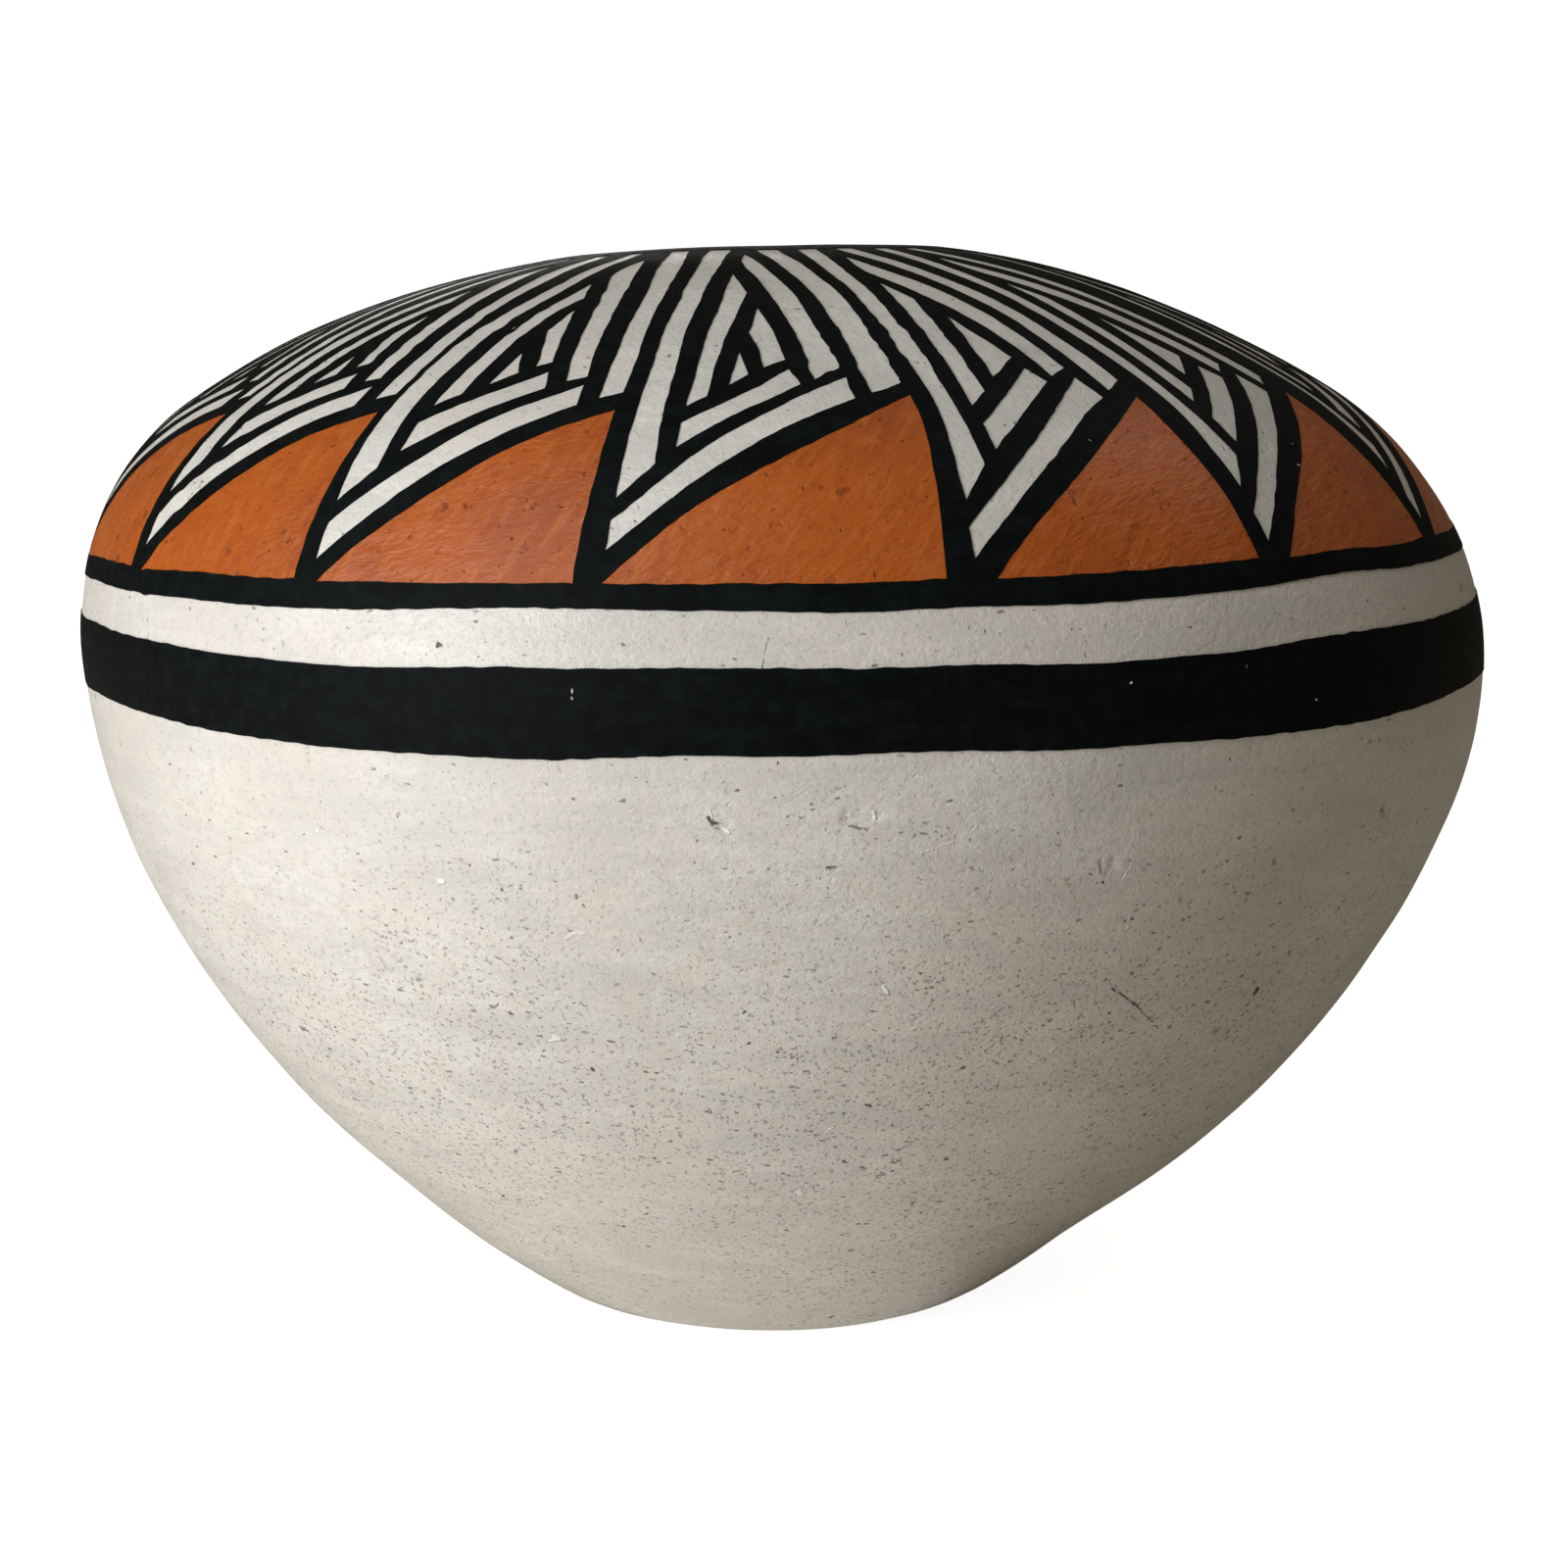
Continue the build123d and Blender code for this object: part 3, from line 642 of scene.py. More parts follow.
class Brush:
    """Freehand edges: a slow drift, a fine shake, and rough stretches where the brush ran dry."""

    def __init__(self, wall, pattern):
        self.wall, self.pattern = wall, pattern
        self.drifts = [Waves(seed=31 + i, count=24, shortest=8 * MM, longest=32 * MM) for i in range(2)]
        self.shakes = [Waves(seed=41 + i, count=24, shortest=0.9 * MM, longest=3.5 * MM) for i in range(2)]
        self.dryness = Waves(seed=51, count=12, shortest=18 * MM, longest=70 * MM)

    def wander(self, turn, length):
        """Sideways and upward moves of the brush at places on the wall."""
        spot, _ = self.wall.section(length)
        base = swung(turn, spot)
        dry = 1 + 2.2 * eased(self.dryness(base), 0.7, 1.6)
        moves = [self.pattern.brush_drift * drift(base) + self.pattern.brush_shake * dry * shake(base)
                 for drift, shake in zip(self.drifts, self.shakes)]
        return moves[0] / spot[..., 0], moves[1]

    def band_edge(self, turns, knots, fallback):
        """Height of a band's edge round the jar: as read in front, easing to an even line behind."""
        degrees = np.degrees(turns)
        read = flowing(degrees, knots) * MM
        first, last = knots[0][0], knots[-1][0]
        front = eased(degrees, first - 40, first) * eased(-degrees, -last - 40, -last)
        length = fallback + (read - fallback) * front
        return length + self.wander(turns, length)[1]


def band_mesh(wall, pattern, low, high, rows=7):
    """A painted band between two freehand edges."""
    face = low + np.linspace(0, 1, rows)[:, None] * (high - low)
    return swept_ring(wall, len(low), (face, pattern.band_lift),
                      (face[::-1], pattern.band_lift - pattern.paint))


def stroke_through(points, step, passes=50):
    """Evenly spaced points along a fair stroke through readings, without its last point."""
    points = np.array(points)
    marks = np.concatenate([[0], np.cumsum(np.hypot(*np.diff(points, axis=0).T))])
    count = max(int(marks[-1] / step), 1)
    along = np.linspace(0, marks[-1], count + 1)
    stroke = np.stack([flowing(along, list(zip(marks, axis))) for axis in points.T], axis=1)
    for _ in range(passes):
        stroke[1:-1] = (stroke[:-2] + 2 * stroke[1:-1] + stroke[2:]) / 4
    return stroke[:-1]


class Layout:
    """The painted dome laid out flat, in millimetres: across at the widest radius, and up the wall."""

    def __init__(self, scene):
        self.wall, self.pattern = Wall(scene.jar_shape), scene.jar_pattern
        self.brush = Brush(self.wall, self.pattern)
        self.circle = 2 * math.pi * READING_RADIUS
        rng = np.random.default_rng(61)
        back = np.linspace(FRONT_FEET[-1], FRONT_FEET[0] + 360, len(BACK_UNITS) + 1)
        back[1:-1] += rng.uniform(-0.9, 0.9, len(back) - 2)
        self.feet = [*FRONT_FEET, *back[1:]]
        self.units = [*FRONT_UNITS, *BACK_UNITS]
        last, first = (FRONT_LEANS[i] + FRONT_UNITS[i]["lean"] for i in (-1, 0))
        back = np.linspace(last, first, len(BACK_UNITS) + 2)[1:-1] - [unit["lean"] for unit in BACK_UNITS]
        self.leans = [*FRONT_LEANS, *(back + rng.uniform(-0.5, 0.5, len(back)))]

    def corrected(self, degrees, share):
        """A reading, taken on a guide that leans otherwise, brought onto the leaning wall."""
        stretch, roll, turned, bent = (steady + growing * share for steady, growing in
                                       (GUIDE_STRETCH, GUIDE_ROLL, GUIDE_TURN, GUIDE_BEND))
        side = degrees / GUIDE_SIDE
        length = stretch * share + GUIDE_RISE - roll * side
        spot, _ = self.wall.section(length * MM)
        shift = np.interp(share, *zip(*GUIDE_LEAN)) - flowing(spot[1] / MM, LEAN)
        turn = degrees + math.degrees(shift * MM * math.cos(math.radians(degrees)) / spot[0])
        return turn + (turned * side + bent * side ** 2), length

    def outline(self, number, sides):
        """One outline of a unit's table, moved to the unit's own feet and brushed freehand."""
        unit, lean = self.units[number], self.leans[number]
        low, high = (self.corrected(foot, FOOT_SHARE)[0] for foot in unit["feet"])
        start, end = self.feet[number], self.feet[number + 1]
        flat = []
        for before, side in zip([sides[-1], *sides], sides):
            points = []
            for degrees, share in [before[-1], *side]:
                turn, length = self.corrected(degrees, share)
                turn = start + (turn - low) / (high - low) * (end - start) + lean * (share - FOOT_SHARE)
                points.append((math.radians(turn) * READING_RADIUS, length))
            flat.append(stroke_through(points, self.pattern.brush_step / MM))
        flat = np.concatenate(flat)
        across, up = self.brush.wander(flat[:, 0] / READING_RADIUS, flat[:, 1] * MM)
        return flat + np.stack([across * READING_RADIUS, up / MM], axis=1)

    def windows(self):
        for number, unit in enumerate(self.units):
            for sides in unit["windows"]:
                yield self.outline(number, sides)

    def triangles(self):
        for number, unit in enumerate(self.units):
            yield self.outline(number, unit["triangle"])

    def shifted(self, outlines):
        """Outlines within half a circle of the front, with copies where they cross the seam."""
        half = self.circle / 2
        for outline in outlines:
            for shift in (-self.circle, 0, self.circle):
                moved = outline + np.array([shift, 0])
                if moved[:, 0].max() > -half and moved[:, 0].min() < half:
                    yield moved

    def coat(self, places, triangles, lift):
        """A closed skin of paint from a flat sheet: its face, its underside and the edges between."""
        keys, joined, kept = {}, {}, []
        for i in sorted({i for triangle in triangles for i in triangle}):
            across, up = places[i]
            key = (round((across + self.circle / 2) % self.circle, 3) % round(self.circle, 3), round(up, 3))
            joined[i] = keys.setdefault(key, len(kept))
            if joined[i] == len(kept):
                kept.append(i)
        faces = [tuple(joined[i] for i in triangle) for triangle in triangles]
        faces = [face for face in faces if len(set(face)) == 3]
        count = len(kept)
        turn, length = places[kept, 0] / READING_RADIUS, places[kept, 1] * MM
        points = [self.wall.place(turn, length, height) for height in (lift, lift - self.pattern.paint)]
        edges = [edge for face in faces for edge in zip(face, face[1:] + face[:1])]
        known = set(edges)
        under = [tuple(i + count for i in reversed(face)) for face in faces]
        rims = [(b, a, a + count, b + count) for a, b in edges if (b, a) not in known]
        return finished_mesh(np.concatenate(points), faces + under + rims)


def filling_points(outline_points, low, high, step, clearance):
    """Evenly spread points between two corners, none of them close to an outline."""
    tree = kdtree.KDTree(len(outline_points))
    for i, (across, up) in enumerate(outline_points):
        tree.insert((across, up, 0), i)
    tree.balance()
    inside = []
    for row, up in enumerate(np.arange(low[1] + step / 2, high[1], step * 0.87)):
        for across in np.arange(low[0] + step * (0.5 + 0.5 * (row % 2)), high[0], step):
            if tree.find((across, up, 0))[2] > clearance:
                inside.append((across, up))
    return inside


def twice_area(outline):
    """Twice the area of a closed outline: positive where it goes round anticlockwise."""
    ahead = np.roll(outline, -1, 0)
    return np.sum(outline[:, 0] * ahead[:, 1] - ahead[:, 0] * outline[:, 1])


def cut_sheet(border, holes, step):
    """Triangles of a flat sheet inside a border and outside its holes."""
    loops = [loop if twice_area(loop) > 0 else loop[::-1] for loop in [border, *holes]]
    points = np.concatenate(loops)
    spread = filling_points(points, border.min(0), border.max(0), step, step * 0.45)
    faces, start = [], 0
    for loop in loops:
        faces.append(list(range(start, start + len(loop))))
        start += len(loop)
    places = [Vector(point) for point in [*points.tolist(), *spread]]
    places, _, made, _, _, sources = geometry.delaunay_2d_cdt(places, [], faces, 0, 1e-4, True)
    kept = [tuple(face) for face, source in zip(made, sources) if source == [0]]
    return np.array([tuple(place) for place in places]), kept


def grown(outline, reach):
    """An outline moved outwards, so that it runs under what is painted beside it."""
    ahead = np.roll(outline, -1, 0) - np.roll(outline, 1, 0)
    out = np.stack([ahead[:, 1], -ahead[:, 0]], axis=1) * np.sign(twice_area(outline))
    return outline + reach * out / np.maximum(np.hypot(*out.T), 1e-6)[:, None]


class Wire:
    """A socket of a finish, with arithmetic that adds the Math nodes."""

    def __init__(self, finish, socket):
        self.finish, self.socket = finish, socket

    def maths(self, operation, first, second=0.0):
        return self.finish.node("ShaderNodeMath", {"operation": operation}, {0: first, 1: second})

    def __add__(self, other):
        return self.maths("ADD", self, other)

    def __sub__(self, other):
        return self.maths("SUBTRACT", self, other)

    def __rsub__(self, other):
        return self.maths("SUBTRACT", other, self)

    def __mul__(self, other):
        return self.maths("MULTIPLY", self, other)

    __radd__ = __add__
    __rmul__ = __mul__


class Finish:
    """A material in the making: its node tree and the few patterns that the coats share."""

    def __init__(self, name):
        self.material = bpy.data.materials.new(name)
        self.material.use_nodes = True
        self.tree = self.material.node_tree
        self.shader = self.tree.nodes["Principled BSDF"]
        self.spot = self.node("ShaderNodeTexCoord", output="Object")

    def node(self, kind, settings=None, sockets=None, output=0):
        """Add a node: its settings first, then the values or links of its sockets."""
        made = self.tree.nodes.new(kind)
        for key, value in (settings or {}).items():
            setattr(made, key, value)
        for key, value in (sockets or {}).items():
            self.feed(made.inputs[key], value)
        return Wire(self, made.outputs[output])

    def feed(self, socket, value):
        if isinstance(value, Wire):
            self.tree.links.new(value.socket, socket)
        elif hasattr(value, "__len__") and len(value) == 3 and socket.type == "RGBA":
            socket.default_value = (*value, 1.0)
        else:
            socket.default_value = value

    def other(self, wire, output):
        """Another output of the node that a wire comes from."""
        return Wire(self, wire.socket.node.outputs[output])

    def vector(self, operation, first, second, output="Vector"):
        return self.node("ShaderNodeVectorMath", {"operation": operation}, {0: first, 1: second}, output)

    def scaled(self, vector, factors):
        return self.vector("MULTIPLY", vector, factors)

    def moved(self, vector, offset):
        return self.vector("ADD", vector, offset)

    def turned(self, vector, angles):
        return self.node("ShaderNodeVectorRotate", {"rotation_type": "EULER_XYZ"},
                         {"Vector": vector, "Rotation": angles})

    def noise(self, vector, grain, detail=3.0, roughness=0.55, output="Fac"):
        return self.node("ShaderNodeTexNoise", {}, {"Vector": vector, "Scale": 1 / grain, "Detail": detail,
                                                    "Roughness": roughness}, output)

    def shaken(self, vector, grain, reach, detail=3.0):
        """The same places, pushed about by a noise."""
        wobble = self.noise(vector, grain, detail, output="Color")
        return self.moved(vector, self.scaled(self.moved(wobble, (-0.5,) * 3), (reach,) * 3))

    def step(self, value, low, high):
        """0 at low, 1 at high, and smooth between."""
        return self.node("ShaderNodeMapRange", {"interpolation_type": "SMOOTHSTEP"},
                         {"Value": value, "From Min": low, "From Max": high})

    def mix(self, factor, first, second):
        return self.node("ShaderNodeMix", {"data_type": "RGBA"}, {0: factor, 6: first, 7: second}, output=2)

    def stronger(self, first, second):
        """The larger of two masks."""
        return self.node("ShaderNodeMath", {"operation": "MAXIMUM", "use_clamp": True},
                         {0: first, 1: second})

    def flecks(self, vector, spread, reach, share):
        """Ragged flecks, one to a cell, each with its own reach, and only in a share of the cells."""
        ragged = self.shaken(vector, spread * 0.45, spread * 0.7, detail=1.0)
        gap = self.node("ShaderNodeTexVoronoi", {}, {"Vector": ragged, "Scale": 1 / spread}, "Distance")
        chance = self.node("ShaderNodeSeparateColor", {}, {0: self.other(gap, "Color")})
        own_reach = self.other(chance, 1) * (reach / spread)
        strength = self.other(chance, 2) * 0.75 + 0.25
        shown = self.step(own_reach - gap, 0.0, 0.35 * reach / spread)
        return shown * self.step(share - chance, 0.0, 0.03) * strength

    def hairline(self, spot, start, end, width):
        """A thin line between two points, for cracks, scores and the painted shade and highlights by knocks.
        """
        start, end = Vector(start), Vector(end)
        run = end - start
        offset = self.moved(spot, -start)
        along = self.vector("DOT_PRODUCT", offset, run / run.length_squared, "Value")
        along = self.node("ShaderNodeClamp", {}, {0: along})
        near = self.node("ShaderNodeVectorMath", {"operation": "SCALE"}, {0: tuple(run), "Scale": along})
        return 1 - self.step(self.vector("DISTANCE", offset, near, "Value"), 0.3 * width, width)

    def lines_on_wall(self, lines):
        """Wavering cracks, scores and the painted shade and highlights by knocks, given as in
        CRACK_AND_SHADE_LINES.
        """
        wall = Wall(bpy.context.scene.jar_shape)
        spot = self.shaken(self.spot, 0.9 * MM, 0.6 * MM)
        total = 0.0
        for *ends, width, strength in lines:
            ends = [wall.place(np.radians(degrees), np.array(length * MM)) for degrees, length in ends]
            total = self.hairline(spot, *ends, width * MM) * strength + total
        return self.node("ShaderNodeClamp", {}, {0: total})

    def wear(self, base, roughness, relief, depth, strength, **steady):
        """Join the patterns to the shader. Steady values are set on the shader's own sockets."""
        normal = self.node("ShaderNodeBump", {}, {"Height": relief, "Distance": depth, "Strength": strength})
        links = {"Base Color": base, "Roughness": roughness, "Normal": normal}
        for key, value in links.items():
            self.feed(self.shader.inputs[key], value)
        for key, value in steady.items():
            self.shader.inputs[key.replace("_", " ")].default_value = value
        return self.material


def polish(finish):
    """Fine relief that the coats share: pores, wiping streaks and the marks of the polishing stone."""
    wiped = finish.scaled(finish.spot, (1, 1, 6))
    streaks = finish.noise(wiped, 5 * MM, detail=5, roughness=0.6)
    grain = finish.noise(finish.spot, 0.5 * MM, detail=3, roughness=0.6)
    pores = finish.flecks(finish.spot, 1.3 * MM, 0.22 * MM, 0.6)
    return streaks * 0.35 + grain * 0.3 - pores * 0.5


def slip_finish(look):
    finish = Finish("white_slip")
    spot = finish.spot
    height = finish.node("ShaderNodeSeparateXYZ", {}, {0: spot}, "Z")
    low = 1 - finish.step(height, 40 * MM, 72 * MM)
    crowd = finish.step(finish.noise(spot, 24 * MM, detail=3), 0.30, 0.54)
    wiped = finish.scaled(spot, (1, 1, 4.5))
    clouds = finish.noise(spot, 34 * MM, detail=4)
    streaks = finish.noise(finish.moved(wiped, (0.3, 0.1, 0.2)), 14 * MM, detail=6, roughness=0.65)
    base = finish.mix(finish.step(clouds * 0.45 + streaks * 0.55, 0.40, 0.61), look.slip_cool, look.slip)
    blush = finish.noise(finish.moved(spot, (0.07, 0.02, 0.05)), 24 * MM, detail=3)
    blush = finish.step(blush, 0.47, 0.70) * finish.step(streaks, 0.36, 0.62)
    base = finish.mix(blush * 0.6, base, look.slip_blush)
    grain = finish.noise(finish.scaled(spot, (1, 1, 1.4)), 1.3 * MM, detail=3, roughness=0.8)
    base = finish.mix(finish.step(grain, 0.42, 0.68) * 0.8, base, look.slip_cool)
    tinge = finish.noise(finish.moved(spot, (0.4, 0.1, 0.3)), 2.6 * MM, detail=3)
    base = finish.mix(finish.step(tinge, 0.52, 0.70) * 0.35, base, look.slip_blush)
    share = 0.18 + crowd * low * 0.82
    level = finish.scaled(spot, (0.65, 0.65, 1.3))
    level = finish.flecks(level, 0.68 * MM, 0.24 * MM, share)
    upright = finish.scaled(finish.turned(spot, (0.5, 0.4, 0.2)), (1.4, 1.4, 0.7))
    upright = finish.flecks(upright, 0.74 * MM, 0.22 * MM, share * 0.85)
    large = finish.flecks(finish.turned(spot, (0.2, 0.9, 0.5)), 2.3 * MM, 0.42 * MM, share * 0.9)
    dust = finish.step(finish.noise(spot, 0.42 * MM, detail=1), 0.60, 0.72) * (0.14 + crowd * low * 0.40)
    marked = finish.stronger(finish.stronger(level * 0.8 + dust, upright * 0.8), large * 1.1)
    base = finish.mix(marked, base, look.fleck_and_shade)
    # Dark lines are cracks, plus painted shade along the knocks' edges. Bright lines and scuffs are chalky
    # bruising and scores, plus painted highlights along the knocks' edges.
    dark, bright = finish.lines_on_wall(CRACK_AND_SHADE_LINES), finish.lines_on_wall(SCORE_AND_HIGHLIGHT_LINES)
    slanted = finish.turned(spot, (0.0, 0.6, 0.0))
    scuffs = finish.flecks(finish.scaled(slanted, (0.45, 1, 1)), 3.0 * MM, 0.45 * MM, 0.25 + low * 0.35)
    bright = finish.stronger(bright, scuffs)
    base = finish.mix(bright, finish.mix(dark, base, look.fleck_and_shade), look.slip_bruise_and_highlight)
    scratches = finish.noise(finish.scaled(slanted, (0.10, 1, 1)), 0.5 * MM, detail=2)
    worn = finish.noise(finish.moved(spot, (0.9, 0.2, 0.6)), 15 * MM)
    scratches = finish.step(scratches, 0.60, 0.70) * finish.step(worn, 0.48, 0.62)
    sheen = finish.noise(wiped, 8 * MM, detail=4)
    rough = look.slip_roughness + (sheen - 0.5) * 0.25 + low * 0.16 + marked * 0.2
    relief = polish(finish) + grain * 0.7 - marked * 0.4 - dark * 1.2 + bright * 0.8 - scratches * 0.2
    return finish.wear(base, rough, relief, 0.2 * MM, 0.75, IOR=1.45)


def black_finish(look):
    finish = Finish("black_paint")
    spot = finish.spot
    brushed = finish.scaled(spot, (1, 1, 5))
    thin = finish.noise(brushed, 7 * MM, detail=5, roughness=0.65)
    grain = finish.noise(spot, 1.6 * MM, detail=4, roughness=0.7)
    base = finish.mix(finish.step(thin * 0.4 + grain * 0.6, 0.42, 0.66), look.black, look.black_worn)
    pinholes = finish.flecks(spot, 3.6 * MM, 0.26 * MM, 0.30)
    base = finish.mix(pinholes, base, look.slip)
    rough = look.black_roughness + (thin - 0.5) * 0.25
    relief = polish(finish) * 0.8 - pinholes
    return finish.wear(base, rough, relief, 0.14 * MM, 0.5, IOR=1.4, Specular_IOR_Level=0.07)


def orange_finish(look):
    finish = Finish("orange_paint")
    spot = finish.spot
    clouds = finish.noise(spot, 13 * MM, detail=4)
    waver = finish.noise(spot, 9 * MM, detail=2, output="Color")
    laid = finish.moved(finish.turned(spot, (0.0, 0.12, 0.0)), finish.scaled(waver, (0, 0, 3.0 * MM)))
    strokes = finish.noise(finish.scaled(laid, (1, 1, 5)), 5 * MM, detail=5, roughness=0.6)
    crossed = finish.noise(finish.scaled(finish.turned(laid, (0.3, 0.9, 0.2)), (1, 1, 5)), 4 * MM, detail=4)
    mottle = finish.noise(finish.moved(spot, (0.2, 0.3, 0.1)), 1.5 * MM, detail=3, roughness=0.65)
    base = finish.mix(finish.step(clouds * 0.7 + crossed * 0.3, 0.28, 0.58), look.orange_deep, look.orange)
    base = finish.mix(finish.step(mottle, 0.50, 0.68) * 0.55, base, look.orange_deep)
    base = finish.mix(finish.step(crossed, 0.52, 0.66) * 0.35, base, look.orange_pale)
    spots = finish.flecks(spot, 2.2 * MM, 0.62 * MM, 0.75)
    base = finish.mix(spots * 0.8, base, look.orange_dark)
    pores = finish.flecks(spot, 0.9 * MM, 0.24 * MM, 0.75)
    base = finish.mix(pores * 0.7, base, look.orange_dark)
    ridges = finish.scaled(finish.turned(laid, (0.1, 0.25, 0.4)), (1, 1, 4))
    ridges = finish.noise(ridges, 1.6 * MM, detail=4)
    rough = look.orange_roughness + (strokes - 0.5) * 0.2 + pores * 0.2
    relief = polish(finish) * 0.8 + strokes + crossed * 0.6 + ridges * 0.7 - pores * 0.8 - spots * 0.5
    return finish.wear(base, rough, relief, 0.18 * MM, 0.85, IOR=1.45, Specular_IOR_Level=0.36)


def clay_finish(look):
    finish = Finish("fired_clay")
    spot = finish.spot
    scraped = finish.scaled(spot, (1, 1, 4))
    smoke = finish.noise(spot, 30 * MM, detail=4)
    streaks = finish.noise(scraped, 4 * MM, detail=6, roughness=0.7)
    base = finish.mix(finish.step(smoke * 0.6 + streaks * 0.4, 0.42, 0.66), look.clay, look.clay_smoke)
    temper = finish.flecks(spot, 1.4 * MM, 0.32 * MM, 0.6)
    base = finish.mix(temper * 0.6, base, look.slip)
    grit = finish.flecks(finish.turned(spot, (0.7, 0.3, 0.2)), 1.7 * MM, 0.34 * MM, 0.6)
    base = finish.mix(grit * 0.7, base, look.fleck_and_shade)
    relief = streaks * 1.2 + finish.noise(spot, 0.6 * MM, detail=3) * 0.6 - grit * 0.8 + temper * 0.4
    rough = 0.82 + (streaks - 0.5) * 0.15
    return finish.wear(base, rough, relief, 0.3 * MM, 0.6, IOR=1.4)


FINISHES = {
    "fired_clay": clay_finish,
    "white_slip": slip_finish,
    "black_paint": black_finish,
    "orange_paint": orange_finish,
}


def finish_for(slot):
    """The slot's material, made the first time that a piece asks for it."""
    made = bpy.data.materials.get(slot)
    if made is None or not made.get("hand_made"):
        made = FINISHES[slot](bpy.context.scene.jar_finish)
        made["hand_made"] = True
    return made


class JAR_OT_clay(bpy.types.Operator):
    """Build the moulded base, the wall coils and the rim coil"""

    bl_idname = "jar.clay"
    bl_label = "Clay body"

    def execute(self, context):
        coils = Coils(Wall(context.scene.jar_shape))
        add_piece("clay_base", base_bowl(coils), "fired_clay", "moulded_base")
        for i, (low, high) in enumerate(zip(coils.joints, coils.joints[1:]), start=1):
            add_piece(f"clay_coil_{i}", coil_ring(coils, low, high), "fired_clay", f"wall_coil_{i}")
        add_piece("clay_rim", rim_ring(coils), "fired_clay", "rim_coil")
        return {"FINISHED"}


class JAR_OT_slip(bpy.types.Operator):
    """Coat the outside in white slip, with its knocks"""

    bl_idname = "jar.slip"
    bl_label = "White slip"

    def execute(self, context):
        add_piece("slip_coat", slip_mesh(Wall(context.scene.jar_shape)), "white_slip", "white_slip")
        return {"FINISHED"}


class JAR_OT_bands(bpy.types.Operator):
    """Paint the black belt, the shoulder line and the ring round the mouth"""

    bl_idname = "jar.bands"
    bl_label = "Black bands"

    def execute(self, context):
        wall, pattern = Wall(context.scene.jar_shape), context.scene.jar_pattern
        brush, turns = Brush(wall, pattern), even_turns(1500)
        low = brush.band_edge(turns, BELT_FOOT, pattern.belt_low)
        high = brush.band_edge(turns, BELT_TOP, pattern.belt_high)
        add_piece("belt_paint", band_mesh(wall, pattern, low, high), "black_paint", "black_belt")
        low = brush.band_edge(turns, LINE_FOOT, pattern.line_low)
        high = brush.band_edge(turns, LINE_TOP, pattern.line_high)
        add_piece("line_paint", band_mesh(wall, pattern, low, high), "black_paint", "black_shoulder_line")
        turns = even_turns(480)
        low = np.full(len(turns), wall.rim - pattern.ring_width)
        low = low + 2 * brush.wander(turns, low)[1]
        ring = band_mesh(wall, pattern, low, wall.rim_end, rows=22)
        add_piece("mouth_paint", ring, "black_paint", "black_mouth_ring")
        return {"FINISHED"}


class JAR_OT_strokes(bpy.types.Operator):
    """Paint the net of black strokes over the dome, with its white windows"""

    bl_idname = "jar.strokes"
    bl_label = "Black strokes"

    def execute(self, context):
        layout, pattern = Layout(context.scene), context.scene.jar_pattern
        low = (pattern.line_high - 1.1 * MM) / MM
        high = (layout.wall.rim - pattern.ring_width + 0.9 * MM) / MM
        half = layout.circle / 2
        across, up = np.linspace(-half, half, 601), np.linspace(low, high, 60)
        sides = [(across, low), (half, up), (across[::-1], high), (-half, up[::-1])]
        border = np.concatenate([np.stack(np.broadcast_arrays(*side), axis=1)[:-1] for side in sides])
        holes = list(layout.shifted([*layout.windows(), *layout.triangles()]))
        net = layout.coat(*cut_sheet(border, holes, step=2.3), pattern.black_lift)
        add_piece("stroke_paint", net, "black_paint", "black_dome_strokes")
        return {"FINISHED"}


class JAR_OT_triangles(bpy.types.Operator):
    """Paint the row of orange triangles, a little under the black beside them"""

    bl_idname = "jar.triangles"
    bl_label = "Orange triangles"

    def execute(self, context):
        layout, pattern = Layout(context.scene), context.scene.jar_pattern
        places, triangles = np.empty((0, 2)), []
        for outline in layout.triangles():
            spots, faces = cut_sheet(grown(outline, pattern.underlap / MM), [], step=1.8)
            triangles += [tuple(i + len(places) for i in face) for face in faces]
            places = np.concatenate([places, spots])
        row = layout.coat(places, triangles, pattern.orange_lift)
        add_piece("triangle_paint", row, "orange_paint", "orange_triangles")
        return {"FINISHED"}


def add_light(name, across, place, way, tint):
    """A square soft light, hidden from the camera. The way leads from what it lights to the light."""
    light = bpy.data.lights.new(name, "AREA")
    light.shape = "SQUARE"
    light.size = across
    light.energy = getattr(bpy.context.scene.jar_stage, f"{name}_power")
    light.color = tint
    lamp = bpy.data.objects.new(f"{name}_light", light)
    lamp.visible_camera = False
    lamp.location = place
    lamp.rotation_euler = way.to_track_quat("Z", "Y").to_euler()
    bpy.context.scene.collection.objects.link(lamp)


def add_ground(stage):
    """Pale paper that curves up behind the jar, and shows its whiteness to the camera alone."""
    bend, front, back, width, top = 0.6, -2.0, 1.6, 3.0, 2.4
    curve = [(back - bend + bend * math.sin(turn), bend * (1 - math.cos(turn)))
             for turn in np.linspace(0, math.pi / 2, 13)]
    profile = [(front, 0.0), *curve, (back, top)]
    points = [(side * width, y, z) for y, z in profile for side in (-1, 1)]
    faces = [(2 * i, 2 * i + 1, 2 * i + 3, 2 * i + 2) for i in range(len(profile) - 1)]
    mesh = bpy.data.meshes.new("stage_paper")
    mesh.from_pydata(points, [], faces)
    mesh.shade_smooth()
    paper = bpy.data.objects.new("stage_paper", mesh)
    bpy.context.scene.collection.objects.link(paper)
    finish = Finish("stage_paper")
    seen = finish.node("ShaderNodeLightPath", output="Is Camera Ray")
    shown = {"Emission Color": finish.mix(seen, BLACK, WHITE), "Emission Strength": stage.ground_glow,
             "Base Color": stage.ground, "Roughness": 0.9, "Specular IOR Level": 0.0}
    for socket, value in shown.items():
        finish.feed(finish.shader.inputs[socket], value)
    mesh.materials.append(finish.material)


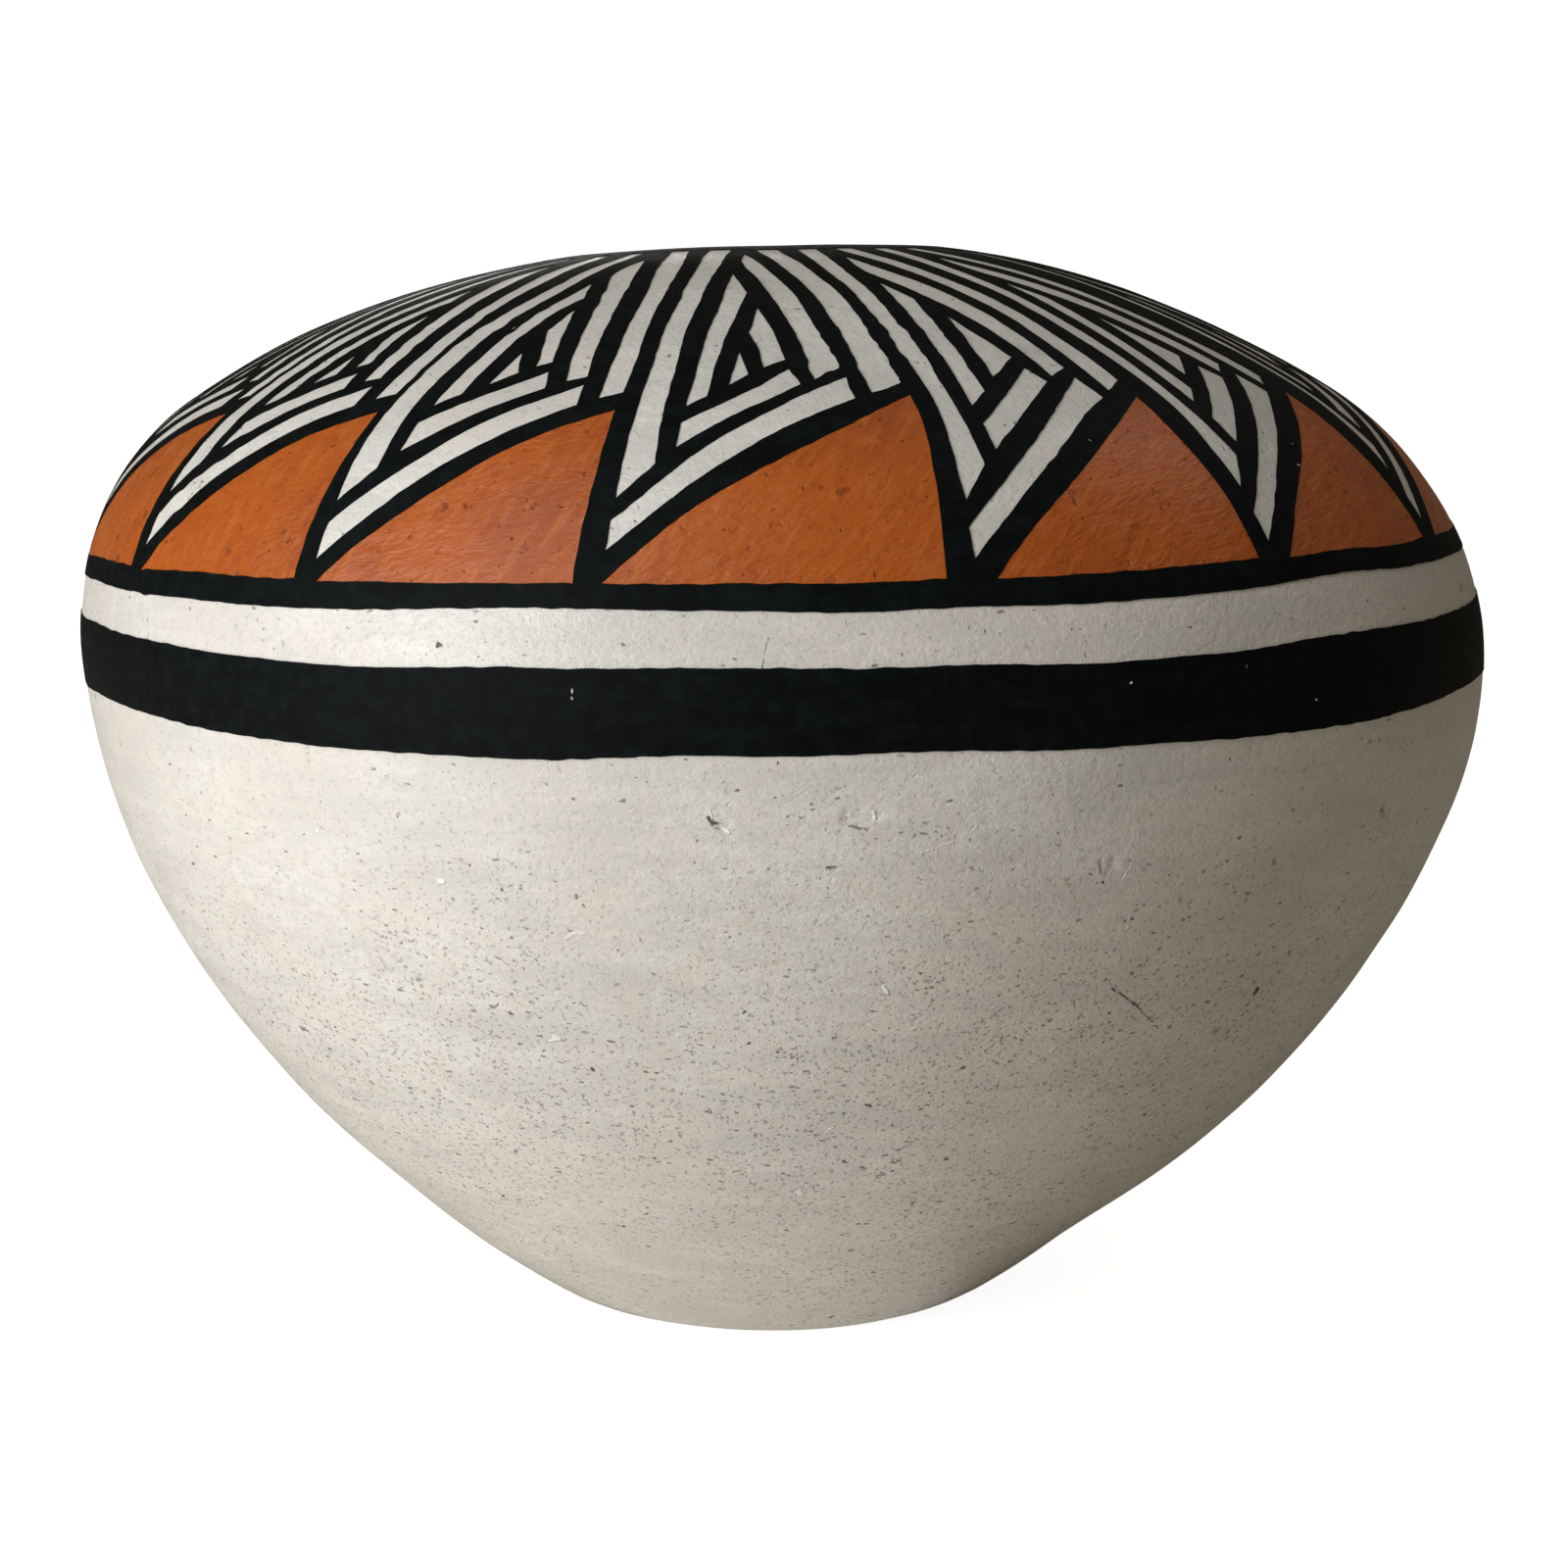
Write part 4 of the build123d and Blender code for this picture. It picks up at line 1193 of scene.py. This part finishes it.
def sky(stage):
    """Soft warm light from all sides, which the camera alone sees as white."""
    world = bpy.data.worlds.new("stage_air")
    world.use_nodes = True
    tree = world.node_tree
    air = tree.nodes["Background"]
    pale, path, both = (tree.nodes.new(f"ShaderNode{kind}")
                        for kind in ("Background", "LightPath", "MixShader"))
    air.inputs["Color"].default_value = (*stage.sky_tint, 1.0)
    air.inputs["Strength"].default_value = stage.sky
    pale.inputs["Color"].default_value = (*WHITE, 1.0)
    for socket, source in enumerate((path.outputs["Is Camera Ray"], air.outputs[0], pale.outputs[0])):
        tree.links.new(source, both.inputs[socket])
    tree.links.new(both.outputs[0], tree.nodes["World Output"].inputs["Surface"])
    return world


class JAR_OT_stage(bpy.types.Operator):
    """Set the pale ground, the soft lights and the camera"""

    bl_idname = "jar.stage"
    bl_label = "Stage"

    def execute(self, context):
        scene, stage = context.scene, context.scene.jar_stage
        add_ground(stage)
        middle, down = Vector((0.0, 0.0, 60 * MM)), Vector((0.0, 0.0, -1.0))
        for name, (across, way, distance, tint) in HIGH_LIGHTS.items():
            way = Vector(way).normalized()
            add_light(name, across, middle + distance * way, way, tint)
        for name, (across, place) in LOW_LIGHTS.items():
            add_light(name, across, Vector(place) * MM, down, WHITE)
        scene.world = sky(stage)
        camera = bpy.data.objects.new("camera", bpy.data.cameras.new("camera"))
        camera.data.lens = stage.lens
        camera.data.sensor_width = 36.0
        camera.data.clip_start = 0.01
        camera.location = (stage.camera_x, stage.camera_y, stage.camera_z)
        camera.rotation_euler = (math.pi / 2 - stage.camera_pitch, 0.0, 0.0)
        scene.collection.objects.link(camera)
        scene.camera = camera
        scene.view_settings.view_transform = "Standard"
        return {"FINISHED"}


class JAR_PT_panel(bpy.types.Panel):
    """Steps of the jar, in the order that they are done"""

    bl_idname = "JAR_PT_panel"
    bl_label = "Pueblo pottery jar"
    bl_space_type = "VIEW_3D"
    bl_region_type = "UI"
    bl_category = "Pottery"

    def draw(self, context):
        for step in STEPS:
            self.layout.operator(step.bl_idname)
        for group in GROUPS:
            settings = getattr(context.scene, group)
            for field in settings.bl_rna.properties.keys()[2:]:
                self.layout.prop(settings, field)


GROUPS = {"jar_shape": JarShape, "jar_pattern": JarPattern, "jar_finish": JarFinish, "jar_stage": JarStage}
STEPS = (JAR_OT_clay, JAR_OT_slip, JAR_OT_triangles, JAR_OT_strokes, JAR_OT_bands, JAR_OT_stage)


def register():
    for group in GROUPS.values():
        bpy.utils.register_class(group)
    for name, group in GROUPS.items():
        setattr(bpy.types.Scene, name, bpy.props.PointerProperty(type=group))
    for step in (*STEPS, JAR_PT_panel):
        bpy.utils.register_class(step)


def unregister():
    for step in (JAR_PT_panel, *reversed(STEPS)):
        bpy.utils.unregister_class(step)
    for name in GROUPS:
        delattr(bpy.types.Scene, name)
    for group in GROUPS.values():
        bpy.utils.unregister_class(group)


def main():
    register()
    bpy.ops.jar.clay()
    bpy.ops.jar.slip()
    bpy.ops.jar.triangles()
    bpy.ops.jar.strokes()
    bpy.ops.jar.bands()
    bpy.ops.jar.stage()


if __name__ == "__main__":
    main()
